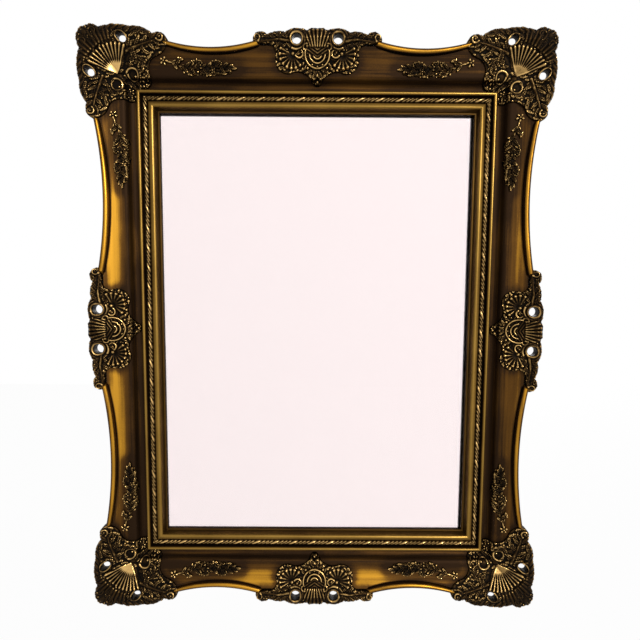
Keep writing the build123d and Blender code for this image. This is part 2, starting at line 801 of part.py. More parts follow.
centre_cartouches = {}
for side in quarter:

    def centre_bed(inset):
        """Depth of the bed at a distance in from the ornament's outer edge."""
        return bed_depth(reach[side] - centre_inset - inset)

    fan_top = centre_bed(fan_inset) + collar_rise
    fan_base = centre_bed(fan_inset + fan_radius) - relief_sink
    fan_lobe = fluted_fan(
        fan_radius, fan_flutes, fan_angle, fan_base, fan_top - fan_rise, fan_top, fan_flute_depth
    )
    with BuildPart() as centre_cartouche:
        add(ornament_beds[side])
        for share_a, share_p, turn, length_share in centre_leaf_shares:
            leaf = centre_half_length * length_share
            for hand in (1, -1):
                place = (hand * centre_half_length * share_a, centre_half_length * share_p)
                bed = centre_bed(place[1] + leaf * sin(radians(turn)) / 2)
                base = centre_plane(side, bed - relief_sink)
                angle = turn if hand > 0 else 180 - turn
                add(base.location * Location(place, angle) * centre_leaves[length_share])
        for hand in (1, -1):
            volute_inset = centre_half_length * centre_volute_shares[1]
            place = (hand * centre_half_length * centre_volute_shares[0], volute_inset)
            volute = round_points(centre_half_length * centre_volute_size_share, volute_sides)
            base = centre_plane(side, centre_bed(volute_inset) - relief_sink)
            add_peak(base, place, volute, scroll_rise)
            with BuildSketch(centre_plane(side, ornament_underside)):
                with Locations((hand * centre_hole_spacing / 2, centre_hole_inset)):
                    Polygon(*round_points(centre_hole_diameter / 2 + collar_width, hole_sides), align=None)
            extrude(amount=centre_bed(centre_hole_inset) + collar_rise - ornament_underside)
        for share, size_share in centre_bead_shares:
            bead_inset = centre_half_length * share
            bead = round_points(centre_half_length * size_share, volute_sides)
            base = centre_plane(side, centre_bed(bead_inset) - relief_sink)
            add_peak(base, (0, bead_inset), bead, flower_rise)
        rib = [(-rib_width / 2, -rib_length / 2), (rib_width / 2, -rib_length / 2)]
        rib += [(x, -y) for x, y in rib[::-1]]
        for index in (-1, 0, 1):
            base = centre_plane(side, centre_bed(rib_length) - relief_sink)
            place = (index * rib_pitch, centre_hole_inset)
            add_peak(base, place, rib, rib_rise)
        # Outline of the casting
        with BuildSketch(centre_plane(side, -bumper_height)):
            Polygon(*centre_outline, align=None)
        extrude(amount=full_depth, mode=Mode.INTERSECT)
        # Fan lobes on both sides and the half ring of the shield
        plane = centre_plane(side, 0)
        for hand in (1, -1):
            hub = plane.from_local_coords(Vector(hand * fan_along, fan_inset, 0))
            start = fan_start_angle if hand > 0 else 180 - fan_start_angle - fan_angle
            way = plane.x_dir.rotate(Axis((0, 0, 0), front_way), start)
            add(Plane(origin=hub, x_dir=way, z_dir=front_way).location * fan_lobe)
        base = centre_plane(side, centre_bed(shield_inset) - relief_sink)
        shield = band_points(shield_radius, scroll_width, shield_turn, scroll_sides)
        add_boss(base, (0, shield_inset), (180 - shield_turn) / 2, shield, relief_sink + scroll_rise)
        with BuildSketch(centre_plane(side, -bumper_height)):
            for hand in (1, -1):
                with Locations((hand * centre_hole_spacing / 2, centre_hole_inset)):
                    Polygon(*round_points(centre_hole_diameter / 2, hole_sides), align=None)
        extrude(amount=full_depth, mode=Mode.SUBTRACT)
        add(outer_rails[side], mode=Mode.SUBTRACT)
    centre_cartouches[side] = centre_cartouche.part
centre_cartouches.update(mirrored_sides(centre_cartouches))


# Floral sprays, drawn along the rail in shares of their length, across from their middle line
spray_stem_shares = [(0.0, -0.1), (0.26, -0.01), (0.55, 0.0), (0.98, 0.0)]
spray_leaf_shares = [
    (0.22, -0.03, -48.0, 0.16),
    (0.34, 0.0, 44.0, 0.17),
    (0.68, 0.0, -48.0, 0.16),
    (0.74, 0.0, 42.0, 0.15),
]
spray_flower_shares = [(0.0, -0.1, 0.058), (0.55, -0.02, 0.056), (0.87, -0.01, 0.048)]
spray_berry_shares = [(0.42, -0.03), (0.98, 0.0)]
berry_sides = 5
spray_berry_size_share = 0.026

sprays = {}
for side in quarter:
    with BuildPart() as floral_spray:
        with BuildSketch(corner_plane(-bumper_height)):
            def spray_place(share_a, share_w):
                """Where a point of the spray lies on this side, from the outer corner."""
                a, w = spray_start + spray_length * share_a, spray_inset + spray_length * share_w
                return (a, w) if side == "top" else (w, a)

            with BuildLine() as stem:
                Polyline(*[spray_place(*share) for share in spray_stem_shares])
            trace(stem.line, line_width=stem_width)
            for share_a, share_w, turn, length_share in spray_leaf_shares:
                angle = turn if side == "top" else 90 - turn
                with Locations(Location(spray_place(share_a, share_w), angle)):
                    Polygon(*leaf_points(spray_length * length_share), align=None)
            for share_a, share_w, size_share in spray_flower_shares:
                with Locations(spray_place(share_a, share_w)):
                    Polygon(*round_points(spray_length * size_share, flower_petals), align=None)
            for share_a, share_w in spray_berry_shares:
                with Locations(spray_place(share_a, share_w)):
                    RegularPolygon(spray_length * spray_berry_size_share, berry_sides)
        extrude(amount=full_depth)
        add(spray_beds[side], mode=Mode.INTERSECT)
        add(outer_rails[side], mode=Mode.SUBTRACT)
    sprays[side] = floral_spray.part


# Panes in the rebate, from the glass at the front to the backing board
pane_depth = rebate_depth
panes = {}
for name, thickness in (
    ("glass_pane", glass_thickness),
    ("blank_insert", insert_thickness),
    ("filler_board", filler_thickness),
    ("backing_board", backing_thickness),
):
    pane_depth -= thickness
    with BuildPart() as pane:
        with BuildSketch(plan_plane("right", pane_depth)):
            Rectangle(
                sight_width + 2 * (lip_cover - pane_clearance),
                sight_height + 2 * (lip_cover - pane_clearance),
            )
        extrude(amount=thickness)
    panes[name] = pane.part


# Turn buttons, each swinging on its own screw behind the wood
turn_buttons = []
for side, spot_across, spot_along in button_spots:
    with BuildPart() as turn_button:
        with BuildSketch(plan_plane(side, -button_gap - button_thickness)) as button_face:
            hole = hole_points(button_screw_diameter / 2 + button_screw_clearance, screw_sides)
            with Locations((spot_across, spot_along)):
                Rectangle(button_length, button_width)
            chamfer(button_face.vertices(), button_clip)
            with Locations((spot_across, spot_along)):
                Polygon(*hole, align=None, mode=Mode.SUBTRACT)
        extrude(amount=button_thickness)
    turn_buttons.append(turn_button.part)

with BuildPart() as turn_button_screws:
    for side, spot_across, spot_along in button_spots:
        head_start = 2 * button_gap + button_thickness
        with BuildSketch(plan_plane(side, -head_start)):
            with Locations((spot_across, spot_along)):
                Polygon(*round_points(button_screw_diameter / 2, screw_sides), align=None)
        extrude(amount=head_start + button_screw_length)
        with BuildSketch(plan_plane(side, -head_start - button_head_height)):
            with Locations((spot_across, spot_along)):
                Polygon(*round_points(button_head_diameter / 2, screw_sides), align=None)
        extrude(amount=button_head_height)


# Strap hangers: a plate screwed to the wood, rolled into an eye for its ring
eye_plane = Plane(
    origin=Vector(strap_across, -bumper_height, strap_height), x_dir=(0, 0, 1), z_dir=(1, 0, 0)
)
with BuildPart() as hanger_strap:
    with BuildSketch(eye_plane):
        with Locations((0, -strap_thickness)):
            Rectangle(strap_length, strap_thickness, align=(Align.MIN, Align.MIN))
        with Locations((0, -eye_height)):
            Polygon(*round_points(eye_diameter / 2, bumper_sides), align=None)
            hole = hole_points(ring_wire / 2 + eye_gap, bumper_sides)
            Polygon(*hole, align=None, mode=Mode.SUBTRACT)
    extrude(amount=strap_width / 2, both=True)
    with BuildSketch(plan_plane("right", -strap_thickness)):
        for drop in (first_screw_drop, second_screw_drop):
            with Locations((strap_across, strap_height + drop)):
                Polygon(*round_points(hanger_screw_diameter / 2, screw_sides), align=None)
    extrude(amount=strap_thickness, mode=Mode.SUBTRACT)

bar_middle = eye_plane.from_local_coords(Vector(0, -eye_height, 0))
with BuildPart() as hanger_ring:
    half = (ring_width - ring_wire) / 2
    turn = ring_wire
    leg_end = ring_length - ring_wire / 2 - half
    bow = [
        (half * cos(angle), -leg_end - half * sin(angle))
        for angle in [pi * index / ring_bow_sides for index in range(ring_bow_sides + 1)]
    ]
    with BuildLine(Plane(origin=bar_middle, x_dir=(1, 0, 0), z_dir=front_way)):
        Polyline((0, 0), (half - turn, 0), (half, -turn), *bow, (-half, -turn), (turn - half, 0), (0, 0))
    with BuildSketch(Plane(origin=bar_middle, z_dir=(1, 0, 0))):
        Polygon(*round_points(ring_wire / 2, wire_sides), align=None)
    sweep(transition=Transition.RIGHT)

with BuildPart() as right_hanger_screws:
    for drop in (first_screw_drop, second_screw_drop):
        with BuildSketch(plan_plane("right", -strap_thickness)):
            with Locations((strap_across, strap_height + drop)):
                Polygon(*round_points(hanger_screw_diameter / 2, screw_sides), align=None)
        extrude(amount=strap_thickness + hanger_screw_length)
        with BuildSketch(plan_plane("right", -strap_thickness - hanger_head_height)):
            with Locations((strap_across, strap_height + drop)):
                Polygon(*round_points(hanger_head_diameter / 2, screw_sides), align=None)
        extrude(amount=hanger_head_height)
with BuildPart() as hanger_screws:
    add(right_hanger_screws.part)
    mirror(right_hanger_screws.part, about=Plane.YZ)


# Bumpers that keep the bottom edge off the wall
with BuildPart() as wall_bumpers:
    with BuildSketch(plan_plane("right", -bumper_height)):
        for sign in (-1, 1):
            with Locations((sign * (sight_width / 2 + bumper_setback), -sight_height / 2 - bumper_setback)):
                Polygon(*round_points(bumper_diameter / 2, bumper_sides), align=None)
    extrude(amount=bumper_height)


# Every piece under its own name
pieces = {}
for side in outward_ways:
    pieces[f"outer_rail_{side}"] = outer_rails[side]
    pieces[f"inner_rail_{side}"] = inner_rails[side]
    pieces[f"rope_strip_{side}"] = rope_strips[side]
    pieces[f"centre_cartouche_{side}"] = centre_cartouches[side]
for upright, about_upright in (("top", None), ("bottom", Plane.XY)):
    for hand, about_hand in (("right", None), ("left", Plane.YZ)):
        for name, shape in (
            (f"corner_cartouche_{upright}_{hand}", corner_cartouche.part),
            (f"floral_spray_{upright}_rail_{hand}", sprays["top"]),
            (f"floral_spray_{hand}_rail_{upright}", sprays["right"]),
        ):
            for about in (about_upright, about_hand):
                shape = mirrored(shape, about) if about else shape
            pieces[name] = shape
pieces.update(panes)
for index, turn_button in enumerate(turn_buttons):
    pieces[f"turn_button_{index + 1}"] = turn_button
pieces["turn_button_screws"] = turn_button_screws.part
pieces["hanger_strap_right"] = hanger_strap.part
pieces["hanger_strap_left"] = mirrored(hanger_strap.part, Plane.YZ)
pieces["hanger_ring_right"] = hanger_ring.part
pieces["hanger_ring_left"] = mirrored(hanger_ring.part, Plane.YZ)
pieces["hanger_screws"] = hanger_screws.part
pieces["wall_bumpers"] = wall_bumpers.part
pieces["corner_v_nails"] = corner_v_nails.part

for name, piece in pieces.items():
    piece.label = name
    export_step(piece, f"parts/{name}.step")
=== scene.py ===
# %% [markdown]
# # An ornate swept frame in antique gold
#
# The frame is a wooden moulding in four mitred lengths, with a narrower slip inside it, a pressed
# rope in the slip's channel, and cast composition ornaments glued over the corners, the middles and
# the coves. All of it is gilded, toned brown and rubbed back on its high points.
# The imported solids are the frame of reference: every piece below is drawn where its solid lies.

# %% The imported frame
from math import cos, pi, radians, sin

import bpy
import numpy as np
from mathutils import Matrix, Vector


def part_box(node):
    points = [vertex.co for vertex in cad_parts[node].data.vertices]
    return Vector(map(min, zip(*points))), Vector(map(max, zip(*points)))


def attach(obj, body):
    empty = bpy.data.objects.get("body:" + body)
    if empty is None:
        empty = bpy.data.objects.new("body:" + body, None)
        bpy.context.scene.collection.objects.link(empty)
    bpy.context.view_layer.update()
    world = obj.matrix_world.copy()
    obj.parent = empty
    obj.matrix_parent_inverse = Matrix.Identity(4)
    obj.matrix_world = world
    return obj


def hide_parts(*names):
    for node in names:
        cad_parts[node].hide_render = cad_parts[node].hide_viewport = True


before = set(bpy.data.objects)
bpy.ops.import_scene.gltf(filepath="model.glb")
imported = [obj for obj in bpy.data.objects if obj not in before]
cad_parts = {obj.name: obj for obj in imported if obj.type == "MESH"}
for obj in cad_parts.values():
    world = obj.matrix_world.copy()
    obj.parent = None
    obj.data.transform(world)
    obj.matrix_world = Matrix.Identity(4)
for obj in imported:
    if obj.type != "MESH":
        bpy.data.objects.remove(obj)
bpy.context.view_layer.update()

# %% [markdown]
# ## Camera, light and floor
#
# The camera stands where the photograph was taken from: a little above the middle, close to the
# frame, tipped down by five degrees. It was fitted to the corners of the opening and of the slip.

# %% Camera
focal_pixels, photo_pixels = 520.0, 640.0
sensor_width, near_limit = 36.0, 0.05
camera_place = Vector((0.0034, -0.7742, 0.0818))
pitch, yaw, roll = radians(5.23), radians(0.19), radians(0.37)

forward = Vector((sin(yaw) * cos(pitch), cos(yaw) * cos(pitch), -sin(pitch)))
level_right = Vector((cos(yaw), -sin(yaw), 0.0))
level_up = level_right.cross(forward)
right = level_right * cos(roll) + level_up * sin(roll)
up = level_up * cos(roll) - level_right * sin(roll)

camera_data = bpy.data.cameras.new("camera")
camera_data.sensor_width = sensor_width
camera_data.lens = sensor_width * focal_pixels / photo_pixels
camera_data.clip_start = near_limit
camera = bpy.data.objects.new("camera", camera_data)
bpy.context.scene.collection.objects.link(camera)
turn = Matrix((right, up, -forward)).transposed().to_4x4()
camera.matrix_world = Matrix.Translation(camera_place) @ turn
bpy.context.scene.camera = camera
bpy.context.scene.view_settings.view_transform = "Standard"
print("lens", round(camera_data.lens, 2))

# %% [markdown]
# Four small helpers serve every step. One turns a colour as it is written on screen into the linear
# values that the renderer mixes, one adds a node with its settings and links, and one starts an empty
# material. The last finds the rays that come from the eye, straight or by way of a mirror or the
# glass, so that a background can look white without lighting the frame.

# %% Node and colour helpers
def linear(text):
    """Linear colour of an sRGB hex value: v/12.92 below 0.04045, else ((v + 0.055)/1.055)^2.4."""
    values = np.array([int(text[i : i + 2], 16) for i in (1, 3, 5)]) / 255.0
    values = np.where(values <= 0.04045, values / 12.92, ((values + 0.055) / 1.055) ** 2.4)
    return (*values.tolist(), 1.0)


def add_node(tree, kind, settings=(), links=()):
    """Add a node, set its properties and sockets by name or number, and link what feeds it."""
    node = tree.nodes.new(kind)
    for key, value in dict(settings).items():
        if isinstance(key, str) and hasattr(node, key):
            setattr(node, key, value)
        else:
            node.inputs[key].default_value = value
    for socket, source in dict(links).items():
        tree.links.new(source, node.inputs[socket])
    return node


def new_material(name):
    """A material with an empty node tree, and that tree."""
    material = bpy.data.materials.new(name)
    material.use_nodes = True
    material.node_tree.nodes.clear()
    return material, material.node_tree


def looked_at(tree):
    """1 for rays of the camera, a reflection or the glass: the largest of three Light Path values."""
    path = add_node(tree, "ShaderNodeLightPath")
    seen = path.outputs["Is Camera Ray"]
    for ray in ("Is Glossy Ray", "Is Transmission Ray"):
        feeds = {0: seen, 1: path.outputs[ray]}
        seen = add_node(tree, "ShaderNodeMath", {"operation": "MAXIMUM"}, feeds).outputs[0]
    return seen


print("middle grey in linear values", round(linear("#808080")[0], 3))

# %% [markdown]
# The world is white where the camera, a reflection or the glass looks at it, and dimmer as a lamp,
# so that the lamps shape the relief. One large soft lamp stands far off to the right and above, as in
# the photograph: the left cove mirrors it nearly into the camera, and the right cove looks away.

# %% World
pure_white = (1.0, 1.0, 1.0, 1.0)
dim_strength, white_strength = 0.25, 1.0
world = bpy.data.worlds.new("studio")
bpy.context.scene.world = world
world.use_nodes = True
sky = world.node_tree
sky.nodes.clear()
dim = add_node(sky, "ShaderNodeBackground", {"Color": pure_white, "Strength": dim_strength})
white = add_node(sky, "ShaderNodeBackground", {"Color": pure_white, "Strength": white_strength})
feeds = {0: looked_at(sky), 1: dim.outputs[0], 2: white.outputs[0]}
mixed = add_node(sky, "ShaderNodeMixShader", {}, feeds)
add_node(sky, "ShaderNodeOutputWorld", {}, {"Surface": mixed.outputs[0]})
print("world", dim_strength, white_strength)


# %% Lamps
def add_lamp(name, place, size, power):
    """A square soft lamp that faces the frame's middle: its side in metres, its power in watts."""
    data = bpy.data.lights.new(name, "AREA")
    data.shape = "SQUARE"
    data.size = size
    data.energy = power
    lamp = bpy.data.objects.new(name, data)
    bpy.context.scene.collection.objects.link(lamp)
    lamp.location = place
    lamp.rotation_euler = (-Vector(place)).to_track_quat("-Z", "Y").to_euler()
    return lamp


key_lamp = add_lamp("key_lamp", (4.4, -10.7, 3.2), 1.5, 960.0)
# A faint lamp low on the right opens the hollows there a little
fill_lamp = add_lamp("fill_lamp", (4.5, -3.0, -1.5), 2.0, 12.0)
# A weak lamp behind shows the back's wood and fittings when the frame is seen from there
back_lamp = add_lamp("back_lamp", (1.2, 4.6, 1.4), 2.0, 120.0)
print("lamps", key_lamp.data.energy, fill_lamp.data.energy, back_lamp.data.energy)

# %% [markdown]
# The floor is a pale painted board, far enough down to stay out of the photograph's view. One flat
# face does for it. Its paint glows where the eye meets it, so that it runs into the white behind,
# and keeps a trace of matt paint that takes the frame's shadow.

# %% Floor
floor_depth, floor_reach, glow_share = -0.75, 3.0, 0.955
floor_corners = [
    (x * floor_reach, y * floor_reach, floor_depth) for x, y in ((-1, -1), (1, -1), (1, 1), (-1, 1))
]
floor_mesh = bpy.data.meshes.new("floor")
floor_mesh.from_pydata(floor_corners, [], [(0, 1, 2, 3)])
floor = bpy.data.objects.new("floor", floor_mesh)
bpy.context.scene.collection.objects.link(floor)
# Rolled matt paint: an even pale grey with no sheen
floor_paint, tree = new_material("pale_floor_paint")
share = {"operation": "MULTIPLY", 1: glow_share}
share = add_node(tree, "ShaderNodeMath", share, {0: looked_at(tree)})
matt = add_node(tree, "ShaderNodeBsdfDiffuse", {"Color": linear("#F4F4F4")})
glow = add_node(tree, "ShaderNodeEmission", {"Color": pure_white, "Strength": white_strength})
feeds = {0: share.outputs[0], 1: matt.outputs[0], 2: glow.outputs[0]}
mixed = add_node(tree, "ShaderNodeMixShader", {}, feeds)
add_node(tree, "ShaderNodeOutputMaterial", {}, {"Surface": mixed.outputs[0]})
floor_mesh.materials.append(floor_paint)
print("floor at", floor_depth)

# %% [markdown]
# ## Finishes
#
# Antique gold starts as a red-brown or dark ground, a coat of gold paint or leaf over it, and a
# brown toning glaze that is wiped off the high points and stays in the hollows. So every gilded
# piece carries a wear attribute, from 0 in a hollow to 1 on a rubbed edge, and one recipe turns it
# into colour, metal and gloss. On the rails and at the corners' shell hinges the same attribute
# also carries painted light and shade. A painted picture would fix the wear to one place, while an
# attribute worked out from each shape puts gold on every crest. Streaks of the glaze run along the
# moulding.

# %% Antique gold
def per_mm(size):
    """Scale of a pattern whose features are this many millimetres, on coordinates in metres."""
    return 1000.0 / size


# The glaze was wiped along the moulding: its streaks are 5 mm wide and some 200 mm long
streak_width, streak_run = 5.0, 40.0
streaky = {"Scale": per_mm(streak_width), "Detail": 3.0, "Roughness": 0.6}
# It lies thicker and thinner in clouds some 60 mm across
cloud_size, cloud_share = 60.0, 0.3
cloudy = {"Scale": per_mm(cloud_size), "Detail": 2.0}
# The ground's grains are finer than 1 mm and drawn at 1.6 mm, so that they show
grain_size, grain_share = 1.6, 0.22
grainy = {"Scale": per_mm(grain_size), "Detail": 4.0, "Roughness": 0.65}
# Colours change at these shares of wear and painted light
hollow_stop, tone_stop, gold_stop = 0.08, 0.42, 0.85
# Glaze covers some of the metal and dulls it, and rubbed gold is bare and brighter
glazed_metal, bare_metal, glazed_roughness, glaze_specular = 0.86, 0.95, 0.55, 0.2


def antique_gold(name, hollow, tone, gold, run, streak, bright, grain):
    """Gilding on a dark ground: rub + streaks + clouds + grains picks hollow, tone or gold."""
    material, tree = new_material(name)
    spot = add_node(tree, "ShaderNodeTexCoord").outputs["Object"]
    stretch = {"X": (1 / streak_run, 1, 1), "Z": (1, 1, 1 / streak_run), "none": (1, 1, 1)}[run]
    wiped = add_node(tree, "ShaderNodeMapping", {"Scale": stretch}, {"Vector": spot})
    streaks = add_node(tree, "ShaderNodeTexNoise", streaky, {"Vector": wiped.outputs[0]})
    clouds = add_node(tree, "ShaderNodeTexNoise", cloudy, {"Vector": spot})
    grains = add_node(tree, "ShaderNodeTexNoise", grainy, {"Vector": spot})
    wear_and_light = add_node(tree, "ShaderNodeAttribute", {"attribute_name": "wear_and_light"})
    level = {"operation": "MULTIPLY_ADD", 1: streak, 2: -0.5 * streak}
    level = add_node(tree, "ShaderNodeMath", level, {0: streaks.outputs[0]})
    for pattern, share in ((clouds, cloud_share), (grains, grain_share)):
        feeds = {0: pattern.outputs[0], 2: level.outputs[0]}
        level = add_node(tree, "ShaderNodeMath", {"operation": "MULTIPLY_ADD", 1: share}, feeds)
    feeds = {0: level.outputs[0], 1: wear_and_light.outputs["Fac"]}
    level = add_node(tree, "ShaderNodeMath", {"operation": "ADD"}, feeds)
    # A noise is a half on average, so this range takes off what clouds and grains add
    lowest = (cloud_share + grain_share) / 2
    lit_and_worn = {"From Min": lowest, "From Max": lowest + 1.0}
    lit_and_worn = add_node(tree, "ShaderNodeMapRange", lit_and_worn, {"Value": level.outputs[0]}).outputs[0]
    ramp = add_node(tree, "ShaderNodeValToRGB", {}, {0: lit_and_worn})
    stops = ramp.color_ramp.elements
    stops[0].position, stops[0].color = hollow_stop, linear(hollow)
    stops[1].position, stops[1].color = gold_stop, linear(gold)
    stops.new(tone_stop).color = linear(tone)
    metal = {"From Min": 0.1, "From Max": 0.7, "To Min": glazed_metal, "To Max": bare_metal}
    metal = add_node(tree, "ShaderNodeMapRange", metal, {"Value": lit_and_worn})
    gloss = {"From Min": 0.1, "From Max": 0.9, "To Min": glazed_roughness, "To Max": bright}
    gloss = add_node(tree, "ShaderNodeMapRange", gloss, {"Value": lit_and_worn})
    bump = {"Strength": 0.35, "Distance": grain * 0.001}
    bump = add_node(tree, "ShaderNodeBump", bump, {"Height": grains.outputs[0]})
    feeds = {"Base Color": ramp.outputs[0], "Metallic": metal.outputs[0]}
    feeds.update({"Roughness": gloss.outputs[0], "Normal": bump.outputs[0]})
    shader = add_node(tree, "ShaderNodeBsdfPrincipled", {"Specular IOR Level": glaze_specular}, feeds)
    add_node(tree, "ShaderNodeOutputMaterial", {}, {"Surface": shader.outputs[0]})
    return material


def on_all_sides(level, upright):
    """A finish for each side, from one that runs level and one that runs upright."""
    return {"top": level, "right": upright, "bottom": level, "left": upright}


# %% Gildings
# Gold paint brushed on the straight moulding and toned: brown in the hollow, streaked to gold outside
rail_colours, rail_streak, rail_bright = ("#25170A", "#553814", "#B98528"), 0.75, 0.34
rail_gold = on_all_sides(
    antique_gold("toned_gold_level_rail", *rail_colours, "X", rail_streak, rail_bright, 0.05),
    antique_gold("toned_gold_upright_rail", *rail_colours, "Z", rail_streak, rail_bright, 0.05),
)
# The slip is the same gold, burnished a little more, so that it is smoother and less streaked
slip_colours, slip_streak, slip_bright = ("#1C1106", "#4D3613", "#967536"), 0.3, 0.3
slip_gold = on_all_sides(
    antique_gold("burnished_gold_level_slip", *slip_colours, "X", slip_streak, slip_bright, 0.05),
    antique_gold("burnished_gold_upright_slip", *slip_colours, "Z", slip_streak, slip_bright, 0.05),
)
# Pressed rope and cast composition: near-black glaze in the hollows, gold where the rag reached, pale enough
# to be partly a painted highlight on the crests
rope_colours, cast_colours = ("#0F0803", "#3F2C12", "#D0A96A"), ("#090502", "#372610", "#D8AF6C")
rope_gold = antique_gold("rubbed_gold_rope", *rope_colours, "none", 0.1, 0.26, 0.03)
cast_gold = antique_gold("rubbed_gold_casting", *cast_colours, "none", 0.2, 0.21, 0.08)
print("gildings and floor paint", len(bpy.data.materials))

# %% [markdown]
# Wood, card, paper, rubber and plated steel show at the back and in the opening. Each could wear a
# picture of the real thing. One recipe does for all of them instead and stays sharp at any size: a
# noise as wide as the rings, fibres or crystals, drawn out along the grain, blends two colours, and
# also changes the gloss and the height a little.

# %% Plain finishes
noise_low, noise_high, gloss_spread = 0.3, 0.7, 0.08


def plain_finish(name, dark, light, scale, stretch, rough, metal=0.0, bump=0.1):
    """A noise of the given size, stretched along one way, blends two colours and changes the gloss."""
    material, tree = new_material(name)
    spot = add_node(tree, "ShaderNodeTexCoord")
    along = add_node(tree, "ShaderNodeMapping", {"Scale": stretch}, {"Vector": spot.outputs["Object"]})
    pattern = {"Scale": per_mm(scale), "Detail": 5.0, "Roughness": 0.6}
    grain = add_node(tree, "ShaderNodeTexNoise", pattern, {"Vector": along.outputs[0]}).outputs[0]
    ramp = add_node(tree, "ShaderNodeValToRGB", {}, {0: grain})
    stops = ramp.color_ramp.elements
    stops[0].position, stops[0].color = noise_low, linear(dark)
    stops[1].position, stops[1].color = noise_high, linear(light)
    gloss = {"From Min": noise_low, "From Max": noise_high}
    gloss.update({"To Min": rough - gloss_spread, "To Max": rough + gloss_spread})
    gloss = add_node(tree, "ShaderNodeMapRange", gloss, {"Value": grain})
    height = {"Strength": 0.4, "Distance": bump * 0.001}
    height = add_node(tree, "ShaderNodeBump", height, {"Height": grain})
    feeds = {"Base Color": ramp.outputs[0], "Roughness": gloss.outputs[0], "Normal": height.outputs[0]}
    shader = add_node(tree, "ShaderNodeBsdfPrincipled", {"Metallic": metal}, feeds)
    add_node(tree, "ShaderNodeOutputMaterial", {}, {"Surface": shader.outputs[0]})
    return material


# %% Wood, paper, card and rubber
even = (1, 1, 1)
# Planed softwood, left bare: pale growth rings 2.5 mm apart, drawn out along each rail
wood_colours, ring_gap, ring_run = ("#A9814F", "#D2AE78"), 2.5, 30.0
bare_wood = on_all_sides(
    plain_finish("bare_wood_level", *wood_colours, ring_gap, (1 / ring_run, 1, 1), 0.7),
    plain_finish("bare_wood_upright", *wood_colours, ring_gap, (1, 1, 1 / ring_run), 0.7),
)
# Thin dark stain on the outer slope, brushed so that 4 mm strokes show
edge_stain = plain_finish("edge_stain", "#1D1209", "#3A2614", 4.0, even, 0.6)
# The blank sheet in the opening: pale pink rolled paper, matt, with a faint 1 mm tooth
sheet_paper = plain_finish("blank_pink_paper", "#FBF4F4", "#FDF6F6", 1.0, even, 0.85, bump=0.02)
# Grey-brown filler card, pressed from fibres 1.5 mm long that leave it dull and mottled
filler_card = plain_finish("filler_card", "#8C765B", "#A89173", 1.5, even, 0.9)
# Hardboard: brown fibres pressed flat, 2 mm long, with a waxy face
hardboard = plain_finish("hardboard_back", "#5B3C22", "#7A5433", 2.0, (1, 1, 0.5), 0.62)
# Moulded rubber of the bumpers, matt black with a 0.8 mm grain
bumper_rubber = plain_finish("bumper_rubber", "#141414", "#212020", 0.8, even, 0.75, bump=0.05)
print("finishes so far", len(bpy.data.materials))

# %% Plated steel
# Zinc-plated steel: cool grey with the crystal bloom of the plating, 3 mm across
zinc_colours, bloom_size = ("#8E8C86", "#B7B5AE"), 3.0
zinc_steel = plain_finish("zinc_plated_steel", *zinc_colours, bloom_size, even, 0.36, 1.0, 0.02)
# Nickel-plated wire and strap: brighter, with fine 0.6 mm polishing marks along it
nickel_colours, mark_size = ("#A5A19A", "#C9C6BF"), 0.6
nickel_steel = plain_finish("nickel_plated_steel", *nickel_colours, mark_size, (1, 1, 0.1), 0.25, 1.0, 0.01)
print("metals", zinc_steel.name, nickel_steel.name)

# %% [markdown]
# The pane is float glass, poured on molten tin, so it is flat but for a wave of a hair's breadth. A
# plain glass shader would shade the sheet behind it, so the lamps' rays pass it as if it were clear,
# and every other ray meets real glass that mirrors and bends.

# %% Glass
wave_length, wave_height, glass_ior = 80.0, 0.00005, 1.5
float_glass, tree = new_material("clear_float_glass")
path = add_node(tree, "ShaderNodeLightPath")
spot = add_node(tree, "ShaderNodeTexCoord")
wave = {"Scale": per_mm(wave_length), "Detail": 1.0}
wave = add_node(tree, "ShaderNodeTexNoise", wave, {"Vector": spot.outputs["Object"]})
swell = {"Strength": 0.1, "Distance": wave_height}
swell = add_node(tree, "ShaderNodeBump", swell, {"Height": wave.outputs[0]})
pane = {"Base Color": pure_white, "Roughness": 0.0, "IOR": glass_ior, "Transmission Weight": 1.0}
pane = add_node(tree, "ShaderNodeBsdfPrincipled", pane, {"Normal": swell.outputs[0]})
clear = add_node(tree, "ShaderNodeBsdfTransparent", {"Color": pure_white})
feeds = {0: path.outputs["Is Shadow Ray"], 1: pane.outputs[0], 2: clear.outputs[0]}
mixed = add_node(tree, "ShaderNodeMixShader", {}, feeds)
add_node(tree, "ShaderNodeOutputMaterial", {}, {"Surface": mixed.outputs[0]})
print("finishes", len(bpy.data.materials))

# %% [markdown]
# ## From arrays to a mesh
#
# Each piece is worked out as arrays of millimetres. A side of the frame has its own directions:
# outwards across the moulding, and along it, chosen so that along times outwards faces the viewer.

# %% Sides of the frame
# Across is from the middle to the sight edge, half is half of the side's opening, reach is from the
# sight edge to the ornament's outer edge, and beside is the reach of the two sides that meet it
half_width, half_height, level_reach, upright_reach = 220.0, 302.0, 109.0, 104.0
wall_gap, slip_width, rebate_depth = 6.0, 28.0, 12.0
level = {"across": half_height, "half": half_width, "reach": level_reach, "beside": upright_reach}
upright = {"across": half_width, "half": half_height, "reach": upright_reach, "beside": level_reach}
sides = {
    "top": {"out": (0, 1), "along": (1, 0), **level},
    "right": {"out": (1, 0), "along": (0, -1), **upright},
    "bottom": {"out": (0, -1), "along": (-1, 0), **level},
    "left": {"out": (-1, 0), "along": (0, 1), **upright},
}


def in_room(side, reach, along, depth):
    """Metres of points on a side: (across + reach) outwards, along the side, depth to the front."""
    way = sides[side]
    out = way["across"] + np.asarray(reach, float)
    x = way["out"][0] * out + way["along"][0] * along
    z = way["out"][1] * out + way["along"][1] * along
    return np.stack(np.broadcast_arrays(x, -(wall_gap + depth), z), axis=-1) * 0.001


print("opening", 2 * half_width, "by", 2 * half_height, "mm")


# %% Arrays to pieces
def enclosed(points, faces):
    """Six times the volume that faces enclose: each is a fan of triangles from its first point."""
    first, rest = points[faces[:, :1]], points[faces[:, 1:]]
    return float((first * np.cross(rest[:, :-1], rest[:, 1:])).sum())


